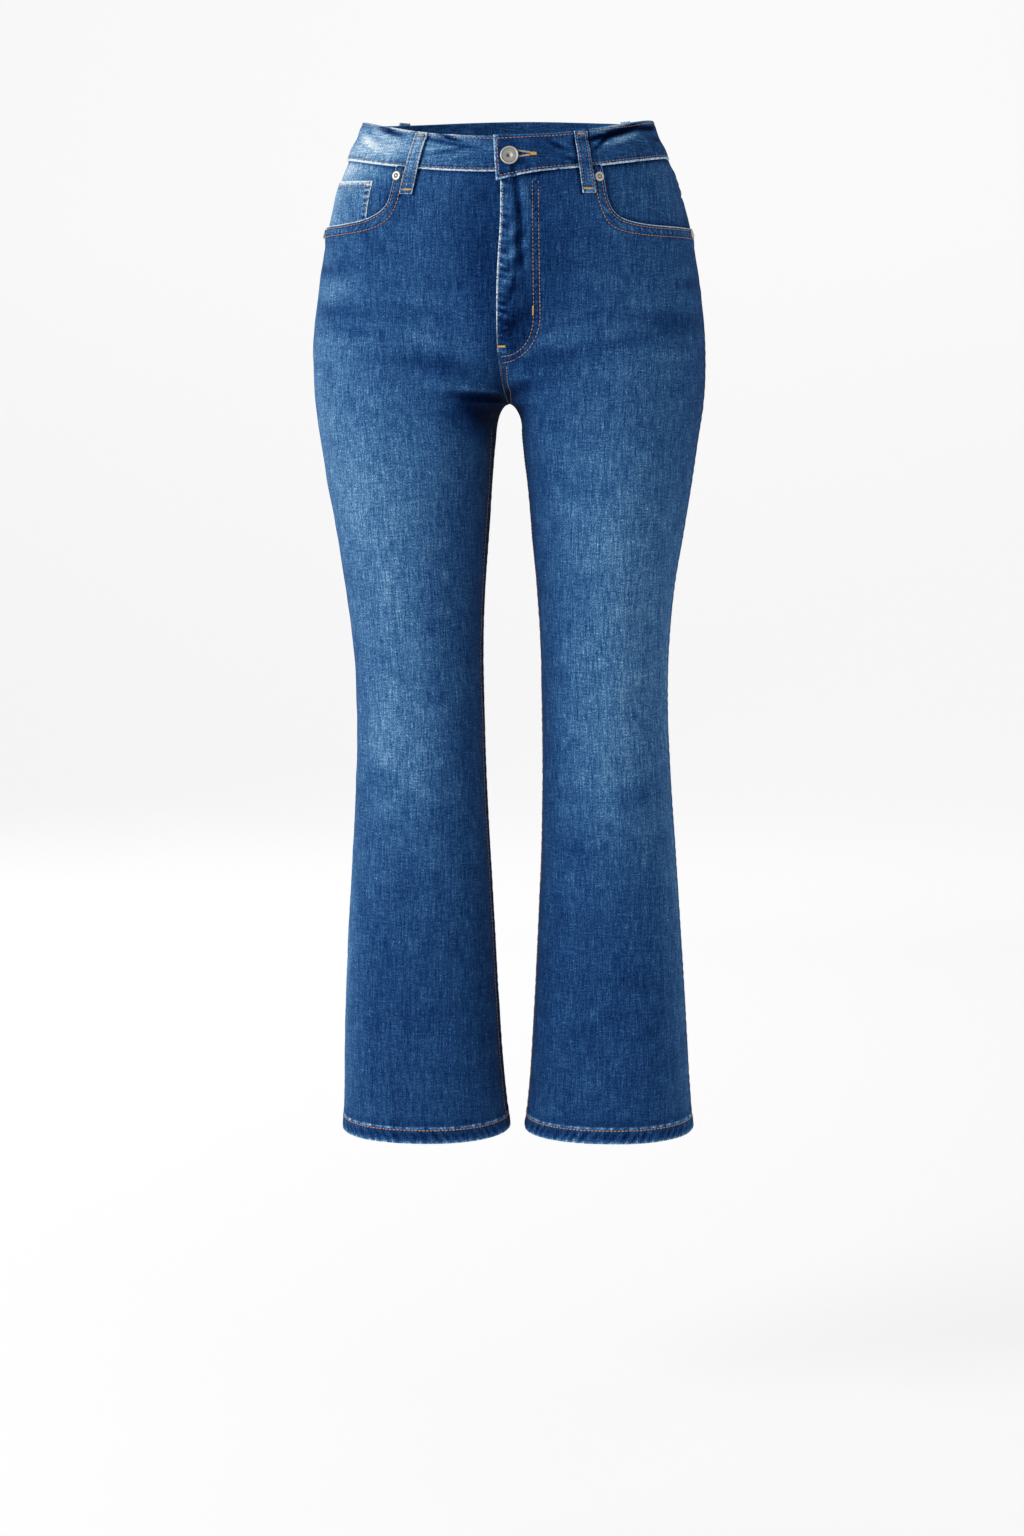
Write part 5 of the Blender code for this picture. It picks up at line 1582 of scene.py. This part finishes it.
for word, spec in LOOPS.items():
    down, across = arrays(steps(56 * MM, 1.2 * MM)[:, None], steps(LOOP_WIDTH, 0.9 * MM) - 0.5)
    side, s, z, lift = loop_place(spec, down, across)
    face = loop_face(down, across, lift)
    from_edge = (0.5 - np.abs(across)) * LOOP_WIDTH
    saw = 0.75 + 0.4 * pucker(down * LOOP_LONG + across * 0.02, 2.3 * MM)
    worn = 0.06 + 0.66 * np.exp(-from_edge / (0.6 * MM)) * saw + 0.08 * pucker(down * LOOP_LONG, LOOP_PITCH)
    # darker along the rows of stitching, as painted shade in their grooves
    worn = worn - 0.17 * bump(from_edge - LOOP_EDGE_ROW, 0.9 * MM)
    grain = np.stack([across * LOOP_WIDTH / MM + 60 * spec[0], z / MM, 0 * z], axis=-1)
    edges = {"top": 0.3, "bottom": 0.5}
    piece = shell(f"belt_loop_cloth_{word}", side, s, z, face, lift, edges, worn, grain=grain)
    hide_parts(f"belt_loop_{word}")
    rows = []
    for way in (-1, 1):
        down = np.linspace(0.05, 0.95, 80)
        across = way * (0.5 - LOOP_EDGE_ROW / LOOP_WIDTH) + 0 * down
        side, s, z, lift = loop_place(spec, down, across)
        face = loop_face(down, across, lift)
        rows.append(sewn_row(side, s, z, face, pitch=2.7 * MM, length=2.2 * MM, width=0.62 * MM))
    thread_piece(f"belt_loop_stitching_{word}", rows, copper_thread)
    rows = []
    for down, length, width in ((0.05, 6.6 * MM, 1.2 * MM), (0.93, 9.2 * MM, 1.7 * MM)):
        side, s, z, lift = loop_place(spec, np.array(down), np.array(0.0))
        face = float(loop_face(down, 0.0, lift))
        rows.append(tack(float(side), float(s), float(z), face, 0, length, width))
    thread_piece(f"belt_loop_bartacks_{word}", rows, gold_thread)


# --- Button and rivets ----------------------------------------------------------------------
# A shank button and four burred rivets, pressed from nickel-plated brass sheet and tumbled to
# an antique dullness: pale on the high rims, darker and rougher in the hollows.

NICKEL_TONES = ((0.0, "#2e2c2a"), (0.45, "#77746f"), (0.75, "#a5a29c"), (1.0, "#cfcdc8"))
nickel, tree, shader = new_material("antique_nickel_plate", {"Metallic": 1.0})
place = add_node(tree, "ShaderNodeAttribute", {"attribute_name": "pressed"})
pressed = add_node(tree, "ShaderNodeSeparateXYZ", None, {0: place.outputs["Vector"]})
coords = add_node(tree, "ShaderNodeTexCoord")
grit = add_node(
    tree, "ShaderNodeTexNoise", None, {"Vector": coords.outputs["Object"], "Scale": 1400.0, "Detail": 4.0}
)
tumbled = add_node(
    tree, "ShaderNodeMath", {"operation": "MULTIPLY_ADD"},
    {0: grit.outputs["Fac"], 1: 0.5, 2: pressed.outputs["X"]},
)
colour = add_node(tree, "ShaderNodeValToRGB", None, {"Fac": tumbled.outputs[0]}, NICKEL_TONES)
tree.links.new(colour.outputs["Color"], shader.inputs["Base Color"])
dull = add_node(
    tree, "ShaderNodeMapRange", None, {"Value": tumbled.outputs[0], "To Min": 0.70, "To Max": 0.46}
)
tree.links.new(dull.outputs["Result"], shader.inputs["Roughness"])
pits = add_node(
    tree, "ShaderNodeBump", None, {"Strength": 0.35, "Distance": 0.05 * MM, "Height": grit.outputs["Fac"]}
)
tree.links.new(pits.outputs["Normal"], shader.inputs["Normal"])


def pressed_piece(name, side, s, z, base, size, profile, turns, dent=None):
    """A turned piece on the cloth. Its profile runs down the outside as (share of the radius,
    height in mm, shine). A dent in its face is (x, y, width, depth)."""
    here, out, across, up = cloth_frame(float(side), s, z, base)
    angles = np.linspace(0, 2 * math.pi, turns, endpoint=False)
    points, shine = [], []
    for radius, height, bright in profile:
        radius = max(radius * size, 1e-5)
        x, y = radius * np.cos(angles), radius * np.sin(angles)
        raised, light = height * MM + 0 * x, bright + 0 * x
        if dent is not None:
            at_x, at_y, width, depth = dent
            sunk = bump(np.hypot(x - at_x, y - at_y), width) * (height > 2)
            raised, light = raised - depth * sunk, light - 0.5 * sunk
        points.append(here + x[:, None] * across + y[:, None] * up + raised[:, None] * out)
        shine.append(np.stack([light, 0 * light, 0 * light], axis=1))
    points, shine = np.concatenate(points), np.concatenate(shine)
    index = np.arange(len(points)).reshape(len(profile), turns)
    after = np.roll(index, -1, axis=1)
    quads = np.stack([index[:-1], after[:-1], after[1:], index[1:]], axis=-1).reshape(-1, 4)
    ends = []
    half = turns // 2
    for ring, way in ((index[0], 1), (index[-1], -1)):
        back = ring[::-1]
        strips = np.stack([ring[: half - 1], ring[1:half], back[1:half], back[: half - 1]], axis=-1)
        ends.append(strips[:, ::-way])
    quads = np.concatenate([quads, *ends])
    piece = add_mesh(name, points, quads, nickel, {"pressed": shine})
    return piece


BUTTON_X, BUTTON_Z, BUTTON_R = 10.8 * MM, -19.8 * MM, 8.1 * MM
BUTTON_DENT = (0.9 * MM, -0.1 * MM, 1.2 * MM, 1.5 * MM)
BUTTON_PROFILE = (  # a low cup, a groove, a rolled rim, and the shank below it
    (0, 2.7, 0.5), (0.06, 2.7, 0.5), (0.12, 2.7, 0.5), (0.20, 2.72, 0.5), (0.27, 2.85, 0.5),
    (0.32, 3.02, 0.55), (0.40, 3.08, 0.5), (0.50, 3.1, 0.46), (0.60, 3.1, 0.45), (0.69, 3.12, 0.42),
    (0.745, 3.1, 0.3), (0.775, 3.13, 0.25), (0.80, 3.3, 0.4), (0.84, 3.52, 0.6), (0.88, 3.58, 0.7),
    (0.92, 3.52, 0.65), (0.96, 3.3, 0.55), (0.99, 2.9, 0.5), (1, 2.4, 0.45), (0.99, 2.0, 0.35),
    (0.96, 1.65, 0.25), (0.90, 1.5, 0.2), (0.5, 1.25, 0.1), (0.42, 1.1, 0.1), (0.42, 0, 0.1),
    (0, 0, 0.1),
)
s = float(s_at_x(1, 1, BUTTON_X, BUTTON_Z))
base = OVER_LIFT + BAND_OUT + GAP
piece = pressed_piece("waist_button_metal", 1, s, BUTTON_Z, base, BUTTON_R, BUTTON_PROFILE, 48, BUTTON_DENT)
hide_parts("waist_button")

RIVET_R = 4.3 * MM
RIVETS = {
    "right_inner": (-1, 88.1 * MM, -34.6 * MM),
    "left_inner": (1, 86.6 * MM, -36.2 * MM),
    "right_outer": (-1, 162.0 * MM, -80.5 * MM),
    "left_outer": (1, 162.0 * MM, -81.5 * MM),
}
RIVET_PROFILE = (  # a nub in a hollow, and a domed ring round it
    (0, 1.45, 0.7), (0.10, 1.44, 0.7), (0.19, 1.36, 0.6), (0.25, 1.15, 0.35), (0.30, 0.95, 0.15),
    (0.38, 0.9, 0.15), (0.45, 1.0, 0.35), (0.52, 1.22, 0.6), (0.60, 1.32, 0.75), (0.72, 1.33, 0.75),
    (0.84, 1.22, 0.7), (0.93, 0.98, 0.6), (0.985, 0.62, 0.5), (1, 0.3, 0.4), (1, 0, 0.3),
    (0, 0, 0.3),
)
base = MOUTH_OUT + 1.5 * GAP
for word, (side, x, z) in RIVETS.items():
    s = float(s_at_x(side, 1, x, z))
    piece = pressed_piece(f"rivet_metal_{word}", side, s, z, base, RIVET_R, RIVET_PROFILE, 36)
    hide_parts(f"rivet_{word}")


# --- Studio ---------------------------------------------------------------------------------
# A sweep of white acrylic lit through from its back, curved up far behind, below and clear of
# the jeans. Large soft lights: one at the front to the wearer's right, a weaker one behind, one
# on the sweep, and an even glow from all round.

FLOOR_Z = -1.19
SWEEP_NEAR, SWEEP_Y, SWEEP_CURVE, SWEEP_TOP, SWEEP_HALF = -7.0, 4.6, 1.4, 4.5, 9.0
acrylic, tree, shader = new_material("backlit_white_acrylic", {
    "Roughness": 0.95, "Specular IOR Level": 0.1,
    "Emission Color": linear("#ffffff"), "Emission Strength": 0.58,
})
coords = add_node(tree, "ShaderNodeTexCoord")
tooth = add_node(
    tree, "ShaderNodeTexNoise", None, {"Vector": coords.outputs["Object"], "Scale": 900.0, "Detail": 2.0}
)
colour = add_node(
    tree, "ShaderNodeValToRGB", None, {"Fac": tooth.outputs["Fac"]}, ((0.3, "#a8a7a7"), (0.7, "#adadac"))
)
tree.links.new(colour.outputs["Color"], shader.inputs["Base Color"])
bend = np.radians(np.arange(6, 91, 6))
curve = [(SWEEP_NEAR, 0.0), (0.0, 0.0), (SWEEP_Y, 0.0)]
curve += [(SWEEP_Y + SWEEP_CURVE * math.sin(a), SWEEP_CURVE * (1 - math.cos(a))) for a in bend]
curve += [(SWEEP_Y + SWEEP_CURVE, SWEEP_TOP)]
points = [(x, y, FLOOR_Z + h) for y, h in curve for x in (-SWEEP_HALF, SWEEP_HALF)]
faces = [(2 * i, 2 * i + 1, 2 * i + 3, 2 * i + 2) for i in range(len(curve) - 1)]
mesh = bpy.data.meshes.new("acrylic_sweep")
mesh.from_pydata(points, [], faces)
mesh.shade_smooth()
mesh.materials.append(acrylic)
put_in("acrylic_sweep", mesh)

LIGHTS = (  # name, place, what it is aimed at, width, height, watts
    ("key_softbox", (-2.7, -2.5, 1.1), (0, 0, -0.42), 1.5, 1.5, 88),
    ("back_softbox", (-1.8, 3.0, 1.4), (0, 0, -0.42), 1.6, 1.6, 40),
    ("sweep_light", (0.0, 2.8, 0.9), (0, 6.0, 1.0), 3.6, 0.6, 16),
)
for name, spot, aim, wide, high, watts in LIGHTS:
    data = bpy.data.lights.new(name, "AREA")
    data.shape, data.size, data.size_y, data.energy = "RECTANGLE", wide, high, watts
    light = put_in(name, data)
    light.location = spot
    light.rotation_euler = (Vector(aim) - Vector(spot)).to_track_quat("-Z", "Y").to_euler()
    light.visible_camera = False

world = bpy.data.worlds.new("studio_glow")
bpy.context.scene.world = world
world.use_nodes = True
glow = world.node_tree.nodes["Background"]
glow.inputs["Color"].default_value = linear("#f7f8fa")
glow.inputs["Strength"].default_value = 0.62
bpy.context.scene.view_settings.view_transform = "Standard"
bpy.context.scene.view_settings.look = "None"

# The camera: 3 m away, 5.3 degrees to the wearer's left of the front, 6.3 degrees down
CAMERA_TURN, CAMERA_DOWN = math.radians(5.3), math.radians(6.33)
CAMERA_FAR, CAMERA_ASIDE, CAMERA_Z = 3.0, 3.2 * MM, -0.2277
LENS_MM, SENSOR_MM = 77.74, 36.0
data = bpy.data.cameras.new("camera")
data.lens, data.sensor_width, data.sensor_height, data.sensor_fit = LENS_MM, SENSOR_MM, SENSOR_MM, "AUTO"
camera = put_in("camera", data)
camera.location = (
    CAMERA_FAR * math.sin(CAMERA_TURN) + CAMERA_ASIDE * math.cos(CAMERA_TURN),
    -CAMERA_FAR * math.cos(CAMERA_TURN) + CAMERA_ASIDE * math.sin(CAMERA_TURN),
    CAMERA_Z,
)
camera.rotation_euler = (math.pi / 2 - CAMERA_DOWN, 0, CAMERA_TURN)
bpy.context.scene.camera = camera
